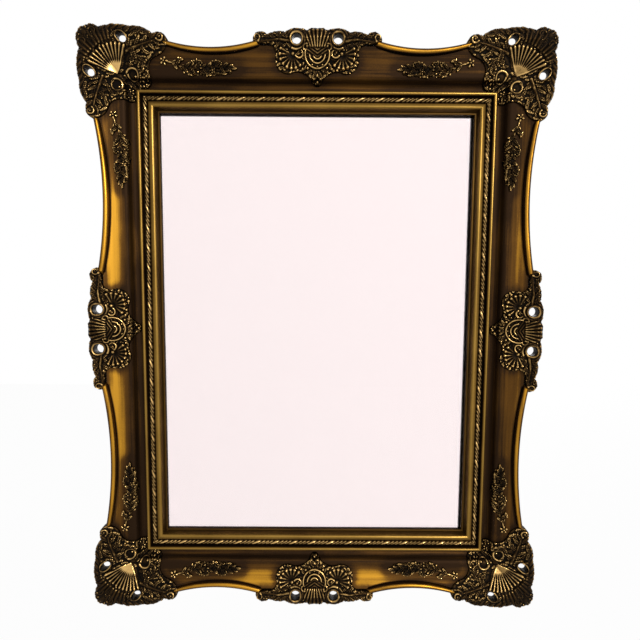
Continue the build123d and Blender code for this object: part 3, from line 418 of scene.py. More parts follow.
def make_piece(
    name, points, quads, finish, nodes=(), wear_and_light=None, caps=(),
    body="frame", crease=40.0, more=(), which=None,
):
    """One closed mesh from points, four-cornered faces and end caps, smooth up to a crease angle.

    Its faces are turned outwards by the sign of the volume that they enclose.
    """
    mesh = bpy.data.meshes.new(name)
    points = np.ascontiguousarray(points.reshape(-1, 3))
    if enclosed(points, quads) + sum(enclosed(points, np.asarray(cap)[None]) for cap in caps) < 0:
        quads, caps = quads[:, ::-1], [cap[::-1] for cap in caps]
    loops = np.concatenate([quads.ravel()] + [np.asarray(cap) for cap in caps]).astype(np.int32)
    sizes = np.concatenate([np.full(len(quads), 4)] + [[len(cap)] for cap in caps]).astype(np.int32)
    starts = np.concatenate([[0], np.cumsum(sizes)[:-1]]).astype(np.int32)
    mesh.vertices.add(len(points))
    mesh.vertices.foreach_set("co", points.ravel())
    mesh.loops.add(len(loops))
    mesh.loops.foreach_set("vertex_index", loops)
    mesh.polygons.add(len(sizes))
    mesh.polygons.foreach_set("loop_start", starts)
    mesh.update(calc_edges=True)
    if wear_and_light is not None:
        wear = np.ascontiguousarray(wear_and_light, np.float32).ravel()
        mesh.attributes.new("wear_and_light", "FLOAT", "POINT").data.foreach_set("value", wear)
    for coat in (finish, *more):
        mesh.materials.append(coat)
    if which is not None:
        coats = np.concatenate([which, np.zeros(len(caps))]).astype(np.int32)
        mesh.polygons.foreach_set("material_index", coats)
    mesh.polygons.foreach_set("use_smooth", np.ones(len(sizes), bool))
    mesh.set_sharp_from_angle(angle=radians(crease))
    piece = bpy.data.objects.new(name, mesh)
    bpy.context.scene.collection.objects.link(piece)
    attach(piece, body)
    if nodes:
        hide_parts(*nodes)
    return piece


def tube_quads(rows, columns, closed=False):
    """Faces of a closed section carried along columns, which a closed tube joins end to end too."""
    i, j = np.meshgrid(np.arange(rows), np.arange(columns if closed else columns - 1), indexing="ij")
    k, m = (i + 1) % rows, (j + 1) % columns
    corners = (i * columns + j, i * columns + m, k * columns + m, k * columns + j)
    return np.stack(corners, axis=-1).reshape(-1, 4)


def tube_caps(rows, columns):
    """The two end faces of an open tube, one looking back and one ahead."""
    start = np.arange(rows) * columns
    return [start, (start + columns - 1)[::-1]]


print("faces of a 4 by 3 tube", len(tube_quads(4, 3)), "and of a closed one", len(tube_quads(4, 3, True)))

# %% [markdown]
# ## The plan of the ornaments
#
# The castings were drawn on the photograph in shares of their own size, and the same outlines
# serve here. They are needed before the rails, because the toning glaze gathers round them.

# %% Outlines
def arc_through(start, middle, end, count=9):
    """Points on the circle through three points, from the first to just before the last."""
    (ax, ay), (bx, by), (cx, cy) = start, middle, end
    d = 2 * (ax * (by - cy) + bx * (cy - ay) + cx * (ay - by))
    a2, b2, c2 = ax * ax + ay * ay, bx * bx + by * by, cx * cx + cy * cy
    centre_x = a2 * (by - cy) + b2 * (cy - ay) + c2 * (ay - by)
    centre_y = a2 * (cx - bx) + b2 * (ax - cx) + c2 * (bx - ax)
    centre = np.array([centre_x, centre_y]) / d
    angles = np.unwrap([np.arctan2(y - centre[1], x - centre[0]) for x, y in (start, middle, end)])
    turns = np.linspace(angles[0], angles[2], count + 1)[:-1]
    radius = np.hypot(ax - centre[0], ay - centre[1])
    return centre + radius * np.stack([np.cos(turns), np.sin(turns)], axis=-1)


# The corner in shares of its arm, in from its two outer edges: start, way point and end of each arc
arm = 122.0
corner_edge = np.array([
    [(0.16, 1.0), (0.085, 0.935), (0.1, 0.845)],
    [(0.1, 0.845), (0.032, 0.73), (0.02, 0.6)],
    [(0.02, 0.6), (0.0, 0.42), (0.03, 0.25)],
]) * arm
corner_inner = np.array([
    [(0.16, 1.0), (0.25, 0.96), (0.31, 0.87)],
    [(0.31, 0.87), (0.37, 0.79), (0.48, 0.77)],
    [(0.48, 0.77), (0.59, 0.76), (0.63, 0.655)],
]) * arm
outer_lobe, inner_lobe = (0.045 * arm, 0.045 * arm), (0.65 * arm, 0.65 * arm)
# The other arm is the first one mirrored across the mitre
swap_edge = corner_edge[::-1, ::-1, ::-1]
swap_inner = corner_inner[:, :, ::-1]
back_inner = corner_inner[::-1, ::-1]
corner_arcs = [
    *corner_edge,
    (corner_edge[-1, -1], outer_lobe, swap_edge[0, 0]),
    *swap_edge,
    *swap_inner,
    (swap_inner[-1, -1], inner_lobe, back_inner[0, 0]),
    *back_inner,
]
corner_outline = np.concatenate([arc_through(*arc) for arc in corner_arcs])

# Half of the centre cartouche in shares of its half length: along the side, and in from its edge
half_length, centre_inset = 87.0, 3.5
centre_half = np.array([
    [(0.0, 0.0), (0.08, 0.0), (0.16, 0.035)],
    [(0.16, 0.035), (0.32, 0.0), (0.5, 0.06)],
    [(0.5, 0.06), (0.64, 0.05), (0.77, 0.1)],
    [(0.77, 0.1), (0.9, 0.055), (1.0, 0.184)],
    [(1.0, 0.184), (0.9, 0.225), (0.8, 0.235)],
    [(0.8, 0.235), (0.7, 0.25), (0.64, 0.35)],
    [(0.64, 0.35), (0.61, 0.57), (0.41, 0.63)],
    [(0.41, 0.63), (0.29, 0.61), (0.2, 0.64)],
    [(0.2, 0.64), (0.12, 0.69), (0.07, 0.75)],
]) * half_length
centre_other = centre_half[::-1, ::-1] * np.array([-1.0, 1.0])
centre_tip = (0.0, 0.79 * half_length)
centre_arcs = [*centre_half, (centre_half[-1, -1], centre_tip, centre_other[0, 0]), *centre_other]


def bent(arc):
    """The same three points, with the middle one moved by a hair where they lie in a line."""
    start, middle, end = arc
    if abs(np.linalg.det(np.array([middle, end]) - start)) > 1e-6:
        return start, middle, end
    return start, middle + (0, -0.01), end


centre_outline = np.concatenate([arc_through(*bent(arc)) for arc in np.array(centre_arcs, dtype=float)])
# A spray starts this far in from the corner's edge and lies this far in from the side's edge
spray_start, spray_length, spray_inset = 115.0, 98.0, 52.0
print("outline points", len(corner_outline), len(centre_outline))

# %% [markdown]
# Distances to these outlines shape almost everything that follows: where a casting ends, how its
# edge rolls over, and how dark the gold is beside it. They are worked out for a whole grid of points
# at once, from one straight run of an outline after another.

# %% Distances
far, tiny = 1e9, 1e-12


def from_run(x, y, start, end):
    """Distance to a straight run, and the share of it, from 0 to 1, where the nearest point lies."""
    (ax, ay), (bx, by) = start, end
    dx, dy = bx - ax, by - ay
    t = np.clip(((x - ax) * dx + (y - ay) * dy) / max(dx * dx + dy * dy, tiny), 0, 1)
    return np.hypot(x - ax - t * dx, y - ay - t * dy), t


def outline_inside(x, y, outline):
    """Signed distance to a closed outline, positive inside: nearest run, and an odd count of crossings."""
    near = np.full(x.shape, far)
    odd = np.zeros(x.shape, bool)
    for start, end in zip(outline, np.roll(outline, -1, axis=0)):
        near = np.minimum(near, from_run(x, y, start, end)[0])
        (ax, ay), (bx, by) = start, end
        rise = by - ay if abs(by - ay) > tiny else tiny
        odd ^= ((ay > y) != (by > y)) & (x < ax + (y - ay) * (bx - ax) / rise)
    return np.where(odd, near, -near)


def stroke_distance(x, y, path):
    """Distance to an open run of points, and how far along it, from 0 to 1, the nearest point lies."""
    near = np.full(x.shape, far)
    share = np.zeros(x.shape)
    path = np.asarray(path, float)
    for index, (start, end) in enumerate(zip(path, path[1:])):
        here, t = from_run(x, y, start, end)
        share = np.where(here < near, (index + t) / (len(path) - 1), share)
        near = np.minimum(near, here)
    return near, share


def smooth_step(value, low, high):
    """0 below low, 1 above high, and 3t^2 - 2t^3 between."""
    t = np.clip((value - low) / (high - low), 0, 1)
    return t * t * (3 - 2 * t)


print("a corner's outline reaches", round(float(np.hypot(*corner_outline.T).max()), 1), "mm")

# %% [markdown]
# ## The outer rails
#
# A rail is a section carried along the side: a dark hollow beside the slip, a short shoulder, a wide
# shallow cove, and a half-round bead at the rim. Between the ornaments the rim swings in along an
# arc, so each column of the sweep has its own outer edge. Columns fan out from the middle, so that
# the last ones lie in the mitre.

# %% Rail section
# Points of the hollow, the shoulder and the cove: reach from the sight edge, and depth to the front
cove_places = np.array([
    28.0, 30.0, 32.5, 35.0, 37.5, 40.0, 42.0, 43.2, 44.6,
    46.2, 48.0, 52.0, 58.0, 66.0, 75.0, 84.0, 93.0, 120.0,
])
cove_depths = np.array([
    17.0, 16.5, 16.2, 16.2, 16.8, 18.2, 20.0, 22.4, 24.3,
    25.5, 26.1, 26.8, 27.9, 29.6, 31.9, 34.4, 37.0, 37.4,
])


def cove_depth(reach):
    """Depth of the cove's surface at a reach from the sight edge, in straight runs between points."""
    return np.interp(reach, cove_places, cove_depths)


print("cove from", cove_depths.min(), "to", cove_depths.max(), "mm")

# %% Swept rim
bay_start, corner_tail, rim_inset, wood_inset = 87.0, 16.0, 19.5, 24.6
rim_width, rim_quirk, bead_lead, bead_fade = 7.5, 1.0, 9.0, 3.0
bay_sag = {"top": 8.0, "bottom": 8.0, "left": 9.0, "right": 9.0}


def rim_edge(side, along):
    """Reach of the rim's outer edge, and 1 where the bead runs: an arc of a circle in each bay."""
    way = sides[side]
    end = way["half"] - corner_tail
    middle, chord, sag = (bay_start + end) / 2, (end - bay_start) / 2, bay_sag[side]
    radius = (chord**2 + sag**2) / (2 * sag)
    place = np.abs(along)
    offset = np.clip(np.abs(place - middle), 0, chord + bead_lead)
    arc = way["reach"] - rim_inset - sag + radius - np.sqrt(radius**2 - offset**2)
    in_bay = np.minimum(place - (bay_start - bead_lead), end + bead_lead - place)
    bead = smooth_step(in_bay, 0, bead_fade)
    return arc * bead + (way["reach"] - wood_inset) * (1 - bead), bead


print("rim's reach beside the top middle", round(float(rim_edge("top", np.array([bay_start]))[0][0]), 1))

# %% Rail surface
cove_rows, bead_rows, mitre_overrun = 30, 11, 80.0
bead_base, bead_rise, quirk_drop, rim_back = 36.2, 3.2, 2.2, 26.0
# Behind the rim the section steps in to the back, and then round the rebate: reach and depth
back_section = np.array([(70.0, rim_back), (57.0, 13.0), (44.0, 0.0), (6.0, 0.0)])
rebate_section = np.array([(6.0, rebate_depth), (slip_width, rebate_depth)])


def rail_points(side, columns):
    """Grid of reach, along and depth: rows go round the section, columns along the side."""
    way = sides[side]
    share, ones = np.linspace(-1, 1, columns)[None, :], np.ones((1, columns))
    # How far a column lies along the side depends on the rim's reach there, so it is tried again
    edge, bead = rim_edge(side, share * (way["half"] + mitre_overrun))
    for _ in range(3):
        edge, bead = rim_edge(side, share * (way["half"] + edge))
    inner = edge - rim_width * bead
    foot = np.linspace(0, 1, cove_rows)[:, None] ** 0.9
    cove = slip_width + (inner - rim_quirk * bead - slip_width) * foot
    turn = np.linspace(pi, 0, bead_rows)[:, None]
    round_reach = (inner + edge) / 2 + np.cos(turn) * (edge - inner) / 2
    flat_depth = cove_depth(round_reach)
    round_depth = flat_depth + (bead_base + bead_rise * np.sin(turn) - flat_depth) * bead
    quirk_reach = np.concatenate([inner - rim_quirk * bead, inner])
    quirk_depth = np.repeat(cove_depth(inner) - quirk_drop * bead, 2, axis=0)
    back = np.concatenate([back_section, rebate_section])
    reach = np.concatenate([cove, quirk_reach, round_reach, edge, back[:, :1] * ones])
    depth = np.concatenate([cove_depth(cove), quirk_depth, round_depth, rim_back * ones, back[:, 1:] * ones])
    return reach, share * (way["half"] + reach), depth


print("points round a rail", len(rail_points("top", 3)[0]))

# %% [markdown]
# The toning follows what lies on the rail. Glaze stays in the hollow, in the quirk beside the bead
# and round every ornament, where a rag can't reach, and the open cove between them is wiped to gold.
# A number for each side paints light and shade on the cove: the left and bottom are made lighter, the top
# and right darker.

# %% Toning of the rails
# Painted light and shade: each side's cove is lighter or darker by how the lamp falls on it, the left and
# bottom lighter, the top and right darker
side_light_share = {"top": 0.15, "bottom": 1.05, "left": 1.25, "right": 0.48}
least_rub, cove_rub, bead_rub = 0.14, 0.62, 0.72
# The last of these darkens the bead's outer half as painted shade
halo_width, halo_loss, quirk_loss, outer_bead_shade = 8.0, 0.7, 0.8, 0.6


def rail_wear_and_light(side, reach, along, depth):
    """Wear and painted light: the wiped cove, scaled per side as painted light and shade, less 0.7 exp(-(d /
    8)^2) round the ornaments, or the bead's own wear with painted shade on its outer half.
    """
    way = sides[side]
    # Distances in from the two outer edges at the nearer corner, the side's own edge first
    across_in, end_in = way["reach"] - reach, way["half"] + way["beside"] - np.abs(along)
    near_corner = -outline_inside(across_in, end_in, corner_outline)
    near_centre = -outline_inside(along, across_in - centre_inset, centre_outline)
    past_spray = np.abs(end_in - (spray_start + spray_length / 2)) - spray_length / 2
    near_spray = np.hypot(across_in - spray_inset, np.clip(past_spray, 0, None))
    near_spray = np.clip(near_spray - 8.0, 0, None) + 2.5
    near = np.minimum(np.minimum(near_corner, near_centre), near_spray)
    halo = np.exp(-((np.clip(near, 0, None) / halo_width) ** 2))
    # The glaze lies thick beside the slip; along the side the cove is darker toward the corners and lighter
    # past the sprays
    wiped = 0.42 + 0.58 * smooth_step(end_in, 165.0, 228.0)
    level = least_rub + cove_rub * smooth_step(reach, 46.0, 68.0) * wiped * side_light_share[side]
    edge, bead = rim_edge(side, along)
    on_bead = smooth_step(depth, 37.2, 39.2) * (reach > edge - rim_width)
    in_quirk = np.exp(-(((reach - edge + rim_width + 0.8) / 1.2) ** 2)) * bead
    wear_and_light = level * (1 - halo_loss * halo) * (1 - quirk_loss * in_quirk)
    wear_and_light = wear_and_light + (bead_rub - wear_and_light) * on_bead * bead
    # Painted shade: the bead's outer half is darker, and its inner half keeps the rubbed gold
    outer_half = smooth_step(reach, edge - 0.6 * rim_width, edge - 0.2 * rim_width)
    wear_and_light = wear_and_light * (1 - outer_bead_shade * bead * outer_half)
    return np.where(depth < rebate_depth + 2.0, 0.0, wear_and_light)


# %% Rails
rail_columns = {"top": 241, "bottom": 241, "left": 301, "right": 301}
# Gold in front, dark stain on the three faces behind the rim, bare wood on the back and the rebate
rail_coats = [0] * 43 + [1] * 3 + [2] * 4
for side in sides:
    reach, along, depth = rail_points(side, rail_columns[side])
    rows, columns = reach.shape
    make_piece(
        f"moulding_{side}",
        in_room(side, reach, along, depth),
        tube_quads(rows, columns),
        rail_gold[side],
        [f"outer_rail_{side}"],
        rail_wear_and_light(side, reach, along, depth),
        tube_caps(rows, columns),
        more=(edge_stain, bare_wood[side]),
        which=np.repeat(rail_coats, columns - 1),
    )
print("rails", rows, "rows")

# %% [markdown]
# ## The slip
#
# The slip lies inside the rail: a small lip at the glass, a slope up to a ridge, a flat band, the
# rope's channel and a bright fillet bead. Its section is drawn point by point and mitred the same way.

# %% Slip section
# Reach from the sight edge and depth to the front, from the rebate round the lip to the channel
lip = [(28.0, 12.0), (0.0, 12.0), (0.0, 18.2), (0.35, 18.8), (1.1, 19.1), (2.4, 19.1), (3.0, 18.8)]
slope = [(3.3, 19.3), (4.3, 21.6), (5.3, 24.1), (5.9, 25.6), (6.2, 26.2), (6.5, 26.5), (8.2, 27.2)]
band = [(8.5, 27.25), (10.5, 26.6), (12.4, 25.9), (13.3, 25.6), (13.8, 25.2), (14.0, 24.6)]
channel = [(14.0, 22.0), (22.9, 22.0), (23.0, 28.2)]
fillet_reach, fillet_depth, fillet_radius = 25.5, 28.4, 2.5
fillet = [
    (fillet_reach + fillet_radius * cos(turn), fillet_depth + fillet_radius * sin(turn))
    for turn in np.linspace(pi, 0, 9)
]
slip_section = np.array(lip + slope + band + channel + fillet)
# Wear across the slip: a share at each of these reaches, and none in the rebate
rub_places = [0.0, 1.5, 3.0, 4.5, 6.2, 7.5, 13.0, 14.0, 18.0, 22.8, 23.6, 25.5, 28.0]
rub_shares = [0.2, 0.42, 0.26, 0.3, 0.56, 0.8, 0.48, 0.1, 0.02, 0.05, 0.5, 0.8, 0.3]
slip_rub = np.interp(slip_section[:, 0], rub_places, rub_shares)
slip_rub = np.where(slip_section[:, 1] < rebate_depth + 3.0, 0.0, slip_rub)
print("slip points", len(slip_section))

# %% Slips
slip_columns = 33
ones = np.ones((1, slip_columns))
for side in sides:
    reach, depth = slip_section[:, :1] * ones, slip_section[:, 1:] * ones
    along = np.linspace(-1, 1, slip_columns)[None, :] * (sides[side]["half"] + reach)
    make_piece(
        f"slip_{side}",
        in_room(side, reach, along, depth),
        tube_quads(len(reach), slip_columns),
        slip_gold[side],
        [f"inner_rail_{side}"],
        slip_rub[:, None] * ones,
        tube_caps(len(reach), slip_columns),
        crease=32.0,
    )
print("slip rows", len(reach))

# %% [markdown]
# ## The rope
#
# The rope in the channel repeats every 27.5 mm: one long strand that turns over the top, and then
# three short ones. Its height is a half ellipse across, times a share that rises and falls with each
# strand, and the strands slant because their phase slides along the rope as it goes across.

# %% Rope
rope_repeat, rope_slant, rope_step, rope_rows = 27.5, 5.0, 0.6, 12
rope_middle, rope_half, channel_floor, rope_height = 18.0, 3.6, 22.0, 5.3
# Shares of the repeat at which the long strand ends and the short ones end
long_end, second_end, third_end = 0.37, 0.58, 0.79


def rope_ridge(along, across):
    """Height share of the strands: one of 10 mm, then three of 6 mm, each a half sine to the power 0.6."""
    phase = ((along - rope_slant * across - np.sin(pi * across)) / rope_repeat) % 1.0
    strand = np.interp(phase, [0.0, long_end, second_end, third_end, 1.0], [0.0, 1.0, 2.0, 3.0, 4.0])
    return np.sin(pi * (strand % 1.0)) ** 0.6 * np.where(phase < long_end, 1.0, 0.88)


for side in sides:
    columns = int(2 * (sides[side]["half"] + rope_middle) / rope_step)
    turn = np.linspace(pi, 0, rope_rows)[:, None]
    across = -np.cos(turn) * np.ones((1, columns))
    reach = rope_middle + rope_half * across
    along = np.linspace(-1, 1, columns)[None, :] * (sides[side]["half"] + reach)
    ridge = rope_ridge(along, across)
    depth = channel_floor + rope_height * np.sin(turn) * (0.5 + 0.5 * ridge)
    make_piece(
        f"rope_{side}",
        in_room(side, reach, along, depth),
        tube_quads(rope_rows, columns),
        rope_gold,
        [f"rope_strip_{side}"],
        0.02 + 0.9 * ridge**1.7 * np.sin(turn) ** 0.7,
        tube_caps(rope_rows, columns),
        crease=60.0,
    )
print("rope columns", columns)

# %% [markdown]
# ## Carving as a height field
#
# A casting is a relief with one height at each point of its plan. It could be sculpted by hand, or
# built from a mesh for each leaf. As an array, every leaf, scroll, shell or bead is one formula for a
# height, of which the highest wins, and the whole is one closed skin with nothing hidden inside.

# %% Carving tools
def blurred(field, cells):
    """Mean over a square of 2n + 1 cells each way, by rolling sums."""
    for axis in (0, 1):
        total = sum(np.roll(field, shift, axis) for shift in range(-cells, cells + 1))
        field = total / (2 * cells + 1)
    return field


def dome(distance, radius):
    """Height share of a half circle: sqrt(1 - (distance / radius)^2), and 0 beyond the radius."""
    return np.sqrt(np.clip(1 - (distance / radius) ** 2, 0, 1))


def seen_from(x, y, place, angle):
    """Coordinates along and across a direction in degrees, counted from a place."""
    turn = radians(angle)
    u = (x - place[0]) * cos(turn) + (y - place[1]) * sin(turn)
    v = -(x - place[0]) * sin(turn) + (y - place[1]) * cos(turn)
    return u, v


def leaf(x, y, place, angle, length, width, rise, curl=0.0):
    """A lobe: half width w = width sin(pi u^0.8)^0.8, height = rise sqrt(1 - (v/w)^2), with a vein."""
    u, v = seen_from(x, y, place, angle)
    u = u / length
    v = v - curl * length * u * u
    inside = (u > 0) & (u < 1)
    half = width * np.sin(pi * np.clip(u, 1e-3, 1 - 1e-3) ** 0.8) ** 0.8 + 1e-3
    vein = 0.3 * np.exp(-((v / 0.55) ** 2)) * (u < 0.85)
    ribs = 0.12 * np.sin(2 * pi * (u * length - 1.1 * np.abs(v)) / 2.6)
    return rise * dome(v, half) * inside * (1 - vein + ribs) * (0.75 + 0.25 * u)


def stroke(x, y, path, width, rise, taper=0.6):
    """A round-backed ridge along a path, thinner to its end: rise sqrt(1 - (distance/width)^2)."""
    near, share = stroke_distance(x, y, path)
    return rise * (1 - 0.3 * share) * dome(near, width * (1 - taper * share))


def spiral(place, radius, start, turns, end_share=0.3, count=28):
    """Points of a scroll that winds in from its radius, by equal turns."""
    share = np.linspace(0, 1, count)
    angle = radians(start) + 2 * pi * turns * share
    size = radius * (1 - (1 - end_share) * share)
    return np.stack([place[0] + size * np.cos(angle), place[1] + size * np.sin(angle)], axis=-1)


def bead(x, y, place, radius, rise):
    """A round bead: rise sqrt(1 - (r/radius)^2)."""
    return rise * dome(np.hypot(x - place[0], y - place[1]), radius)


def flower(x, y, place, radius, rise, petals=5, turn=0.0):
    """A rosette: petals where r < radius (0.74 + 0.26 cos(n angle)), dished, a bead in the middle."""
    dx, dy = x - place[0], y - place[1]
    r, angle = np.hypot(dx, dy), np.arctan2(dy, dx) + turn
    edge = radius * (0.74 + 0.26 * np.cos(petals * angle))
    dish = 0.55 + 0.45 * np.clip(r / edge, 0, 1)
    petal = rise * np.sqrt(np.clip(1 - (r / edge) ** 4, 0, 1)) * dish * (0.8 + 0.2 * np.cos(petals * angle))
    return np.maximum(petal, bead(x, y, place, radius * 0.26, rise * 1.15))


nought = np.zeros(1)
print("middle of a flower 4.2 mm tall", round(float(flower(nought, nought, (0, 0), 5.0, 4.2)[0]), 2))


# %% Small leaves and shells
def thicket(x, y, height, centre, spacing, seed, rise):
    """Small leaves on a jittered grid, each turned roughly away from the centre, over what is there."""
    chance = np.random.default_rng(seed)
    step = x[1, 0] - x[0, 0]
    for u in np.arange(x[0, 0], x[-1, 0], spacing):
        for v in np.arange(y[0, 0], y[0, -1], spacing):
            place = (u + chance.uniform(-0.4, 0.4) * spacing, v + chance.uniform(-0.4, 0.4) * spacing)
            outward = np.degrees(np.arctan2(place[1] - centre[1], place[0] - centre[0]))
            angle = outward + chance.uniform(-65, 65)
            length, width = chance.uniform(1.1, 1.9) * spacing, chance.uniform(0.28, 0.42) * spacing
            tall = rise * chance.uniform(0.6, 1.0)
            # Only the part of the grid that the leaf can reach is worked on
            i, j = int((place[0] - x[0, 0]) / step), int((place[1] - y[0, 0]) / step)
            cells = int(length / step) + 2
            near = (slice(max(i - cells, 0), i + cells), slice(max(j - cells, 0), j + cells))
            lobe = leaf(x[near], y[near], place, angle, length, width, tall, 0.1)
            height[near] = np.maximum(height[near], lobe)
    return height


def shell(x, y, hinge, start, fan, radius, flutes, low, high):
    """A scallop: height climbs from low at the hinge to high at the rim, cut by |sin| of the flutes."""
    dx, dy = x - hinge[0], y - hinge[1]
    r, angle = np.hypot(dx, dy), np.degrees(np.arctan2(dy, dx))
    swing = (angle - start + 180.0) % 360.0 - 180.0
    share = swing / fan
    wave = np.abs(np.sin(pi * flutes * share))
    rim = radius * (0.93 + 0.07 * wave)
    climb = np.clip(r / rim, 0, 1)
    roll = np.sqrt(np.clip((1 - climb) / 0.07, 0, 1))
    height = low + (high - low) * climb**0.85
    cut = (0.1 + 0.9 * wave**1.4) * smooth_step(climb, 0.3, 0.5) + (1 - smooth_step(climb, 0.3, 0.5))
    ridge = (height - 0.22 * (high - low) * (1 - cut) * 3.0 * climb) * (0.55 + 0.45 * np.clip(roll, 0, 1))
    return np.where((share > 0) & (share < 1) & (r < rim), ridge, 0.0)


sample = shell(nought + 30.0, nought, (0, 0), -50.0, 100.0, 38.0, 11, 1.2, 7.6)
print("height of a shell's middle flute", round(float(sample[0]), 2))

# %% [markdown]
# A height field alone ends in ragged steps and has no back. So the points of its border slide onto
# the outline, a second sheet under the first is the back, and a strip closes the edge between them.
# What stands above its surroundings, averaged over some 5 mm, takes more wear.

# %% From a height field to a casting
ground_reach, back_rub = 2.4, 0.18


def cast_piece(name, x, y, inside, top, base, to_room, node, gain, lift, painted_highlight=0.0):
    """Close a height field into one mesh: kept cells, border on the outline, back sheet, edge strip.

    Wear and painted light = lift + gain (height above the blurred surface) + a painted highlight.
    """
    step = abs(x[1, 0] - x[0, 0])
    cell = (inside[1:, 1:] + inside[:-1, 1:] + inside[1:, :-1] + inside[:-1, :-1]) / 4 > 0
    padded = np.pad(cell, 1)
    around = padded[1:, 1:].astype(int) + padded[:-1, 1:] + padded[1:, :-1] + padded[:-1, :-1]
    used, border = around > 0, (around > 0) & (around < 4)
    slope_x, slope_y = np.gradient(inside, step)
    size = np.maximum(np.hypot(slope_x, slope_y), 0.3)
    shift = np.where(border, np.clip(-inside / size, -0.8 * step, 0.8 * step), 0.0)
    px, py = x + shift * slope_x / size, y + shift * slope_y / size
    total = used.sum()
    index = np.full(x.shape, -1)
    index[used] = np.arange(total)
    quarters = (index[:-1, :-1], index[1:, :-1], index[1:, 1:], index[:-1, 1:])
    corners = [quarter[cell] for quarter in quarters]
    front = np.stack(corners, axis=-1)
    # Where the cell beside a cell's edge is empty, a strip joins front and back there
    beside = (padded[1:-1, :-2], padded[2:, 1:-1], padded[1:-1, 2:], padded[:-2, 1:-1])
    strips = []
    for neighbour, first, second in zip(beside, corners, corners[1:] + corners[:1]):
        is_open = ~neighbour[cell]
        start, end = first[is_open], second[is_open]
        strips.append(np.stack([end, start, start + total, end + total], axis=-1))
    quads = np.concatenate([front, front[:, ::-1] + total, *strips])
    points = np.concatenate([to_room(px[used], py[used], sheet[used]) for sheet in (top, base)])
    ground = blurred(top, max(int(ground_reach / step), 1))
    wear_and_light = np.clip(lift + gain * (top - ground) + painted_highlight, 0, 1)[used]
    wear_and_light = np.concatenate([wear_and_light, np.full(total, back_rub)])
    return make_piece(name, points, quads, cast_gold, [node], wear_and_light, crease=75.0)


def rounded_edge(inside, radius):
    """How far the surface falls within a radius of the outline: a quarter circle."""
    t = np.clip(inside / radius, 0, 1)
    return radius * (1 - np.sqrt(np.clip(1 - (1 - t) ** 2, 0, 1)))


print("a 1.6 mm edge falls", rounded_edge(0.0, 1.6), "mm at the outline")

# %% [markdown]
# ## A corner
#
# Each corner holds a scallop shell whose hinge is a smooth hollow, painted bright as a painted
# highlight, and whose flutes open to the outer corner. Two C scrolls lie inward of the hinge, small
# flowers and beads beyond them, and acanthus leaves run down both arms to a volute. Two oval holes pierce
# it, clear of the wood.

# %% Corner plan
carving_step = 0.62
corner_places = np.arange(-1.5, arm + 2.25, carving_step)
p, q = np.meshgrid(corner_places, corner_places, indexing="ij")
hole_place, hole_angle, hole_half = (16.5, 60.8), 45, (8.0, 5.2)


def oval_inside(x, y, place, angle, half_length, half_width):
    """Nearly the signed distance into an oval: (1 - r of the unit circle) times the half width."""
    u, v = seen_from(x, y, place, angle)
    return (1 - np.hypot(u / half_length, v / half_width)) * half_width


def mirrored_pair(place):
    """A place in the corner and its mirror image across the diagonal."""
    return (place, place[::-1])


holes = [oval_inside(p, q, place, hole_angle, *hole_half) for place in mirrored_pair(hole_place)]
solid_edge = outline_inside(p, q, corner_outline)
inside = np.minimum(solid_edge, -np.maximum(*holes))
bed = cove_depth(np.maximum(upright_reach - p, level_reach - q))
print("corner grid", p.shape)

# %% Corner ground, edge and ribs
ground_rise, leaf_centre, leaf_spacing, leaf_rise = 0.5, (51.0, 61.0), 6.2, 4.6
relief = 0.35 * np.sin(p / 1.9 + 0.8 * np.sin(q / 3.1)) * np.sin(q / 2.3 + 0.9 * np.sin(p / 2.7))
relief = thicket(p, q, ground_rise + relief, leaf_centre, leaf_spacing, 6036, leaf_rise)
# Gadrooned edge: slanting lobes in a band along the two outer edges
outer = np.minimum(p, q)
run = np.where(p < q, q, p)
edge_band = dome(solid_edge - 4.2, 4.6) * smooth_step(run, 22, 30) * (outer < 26)
lobes = np.abs(np.sin(pi * (run + 0.9 * solid_edge) / 8.6)) ** 0.7
relief = np.maximum(relief, edge_band * (1.2 + 2.6 * lobes))
# Combed ribs from the shell's rim to the corner lobe
hinge = (51.2, 61.0)
away = np.hypot(p - hinge[0], q - hinge[1])
bearing = np.degrees(np.arctan2(hinge[1] - q, hinge[0] - p))
comb = np.abs(np.sin(pi * bearing / 6.5)) ** 0.6
fan_zone = smooth_step(away, 39, 43) * smooth_step(bearing, 14, 22) * (1 - smooth_step(bearing, 80, 90))
relief = np.maximum(relief, fan_zone * (1.0 + 2.6 * comb) * np.clip(solid_edge / 3, 0, 1))
# The corner lobe: a bead with three leaves, and a small scroll to each side
for place in mirrored_pair((9.5, 23.0)):
    relief = np.maximum(relief, stroke(p, q, spiral(place, 5.2, 200, 0.9), 1.9, 4.2))
relief = np.maximum(relief, bead(p, q, (11.5, 11.5), 6.0, 4.6))
for angle in (190, 225, 260):
    relief = np.maximum(relief, leaf(p, q, (17.0, 17.0), angle, 13.0, 3.0, 4.6))
print("edge and ribs to", round(float(relief.max()), 2))

# %% Corner leaves, scrolls and flowers
arm_spine = [(33.0, 66.0), (28.0, 80.0), (24.0, 92.0), (21.0, 104.0), (18.0, 113.0)]
volute = (16.5, 112.5)
# Place, direction and length of the leaves that lean away from an arm's middle line
arm_leaves = (
    (30, 66, 150, 15), (29, 72, 35, 16), (27, 78, 140, 15), (26, 84, 48, 15), (24, 89, 140, 14),
    (23, 95, 55, 13), (21, 99, 145, 12), (21, 104, 62, 10), (38, 78, 60, 16), (44, 84, 20, 14),
    (33, 88, 75, 12), (12, 74, 95, 14), (10, 84, 80, 12),
)
scroll_leaves = ((62, 60, 20, 15), (66, 70, 45, 14), (56, 74, 80, 14), (76, 70, 60, 10))
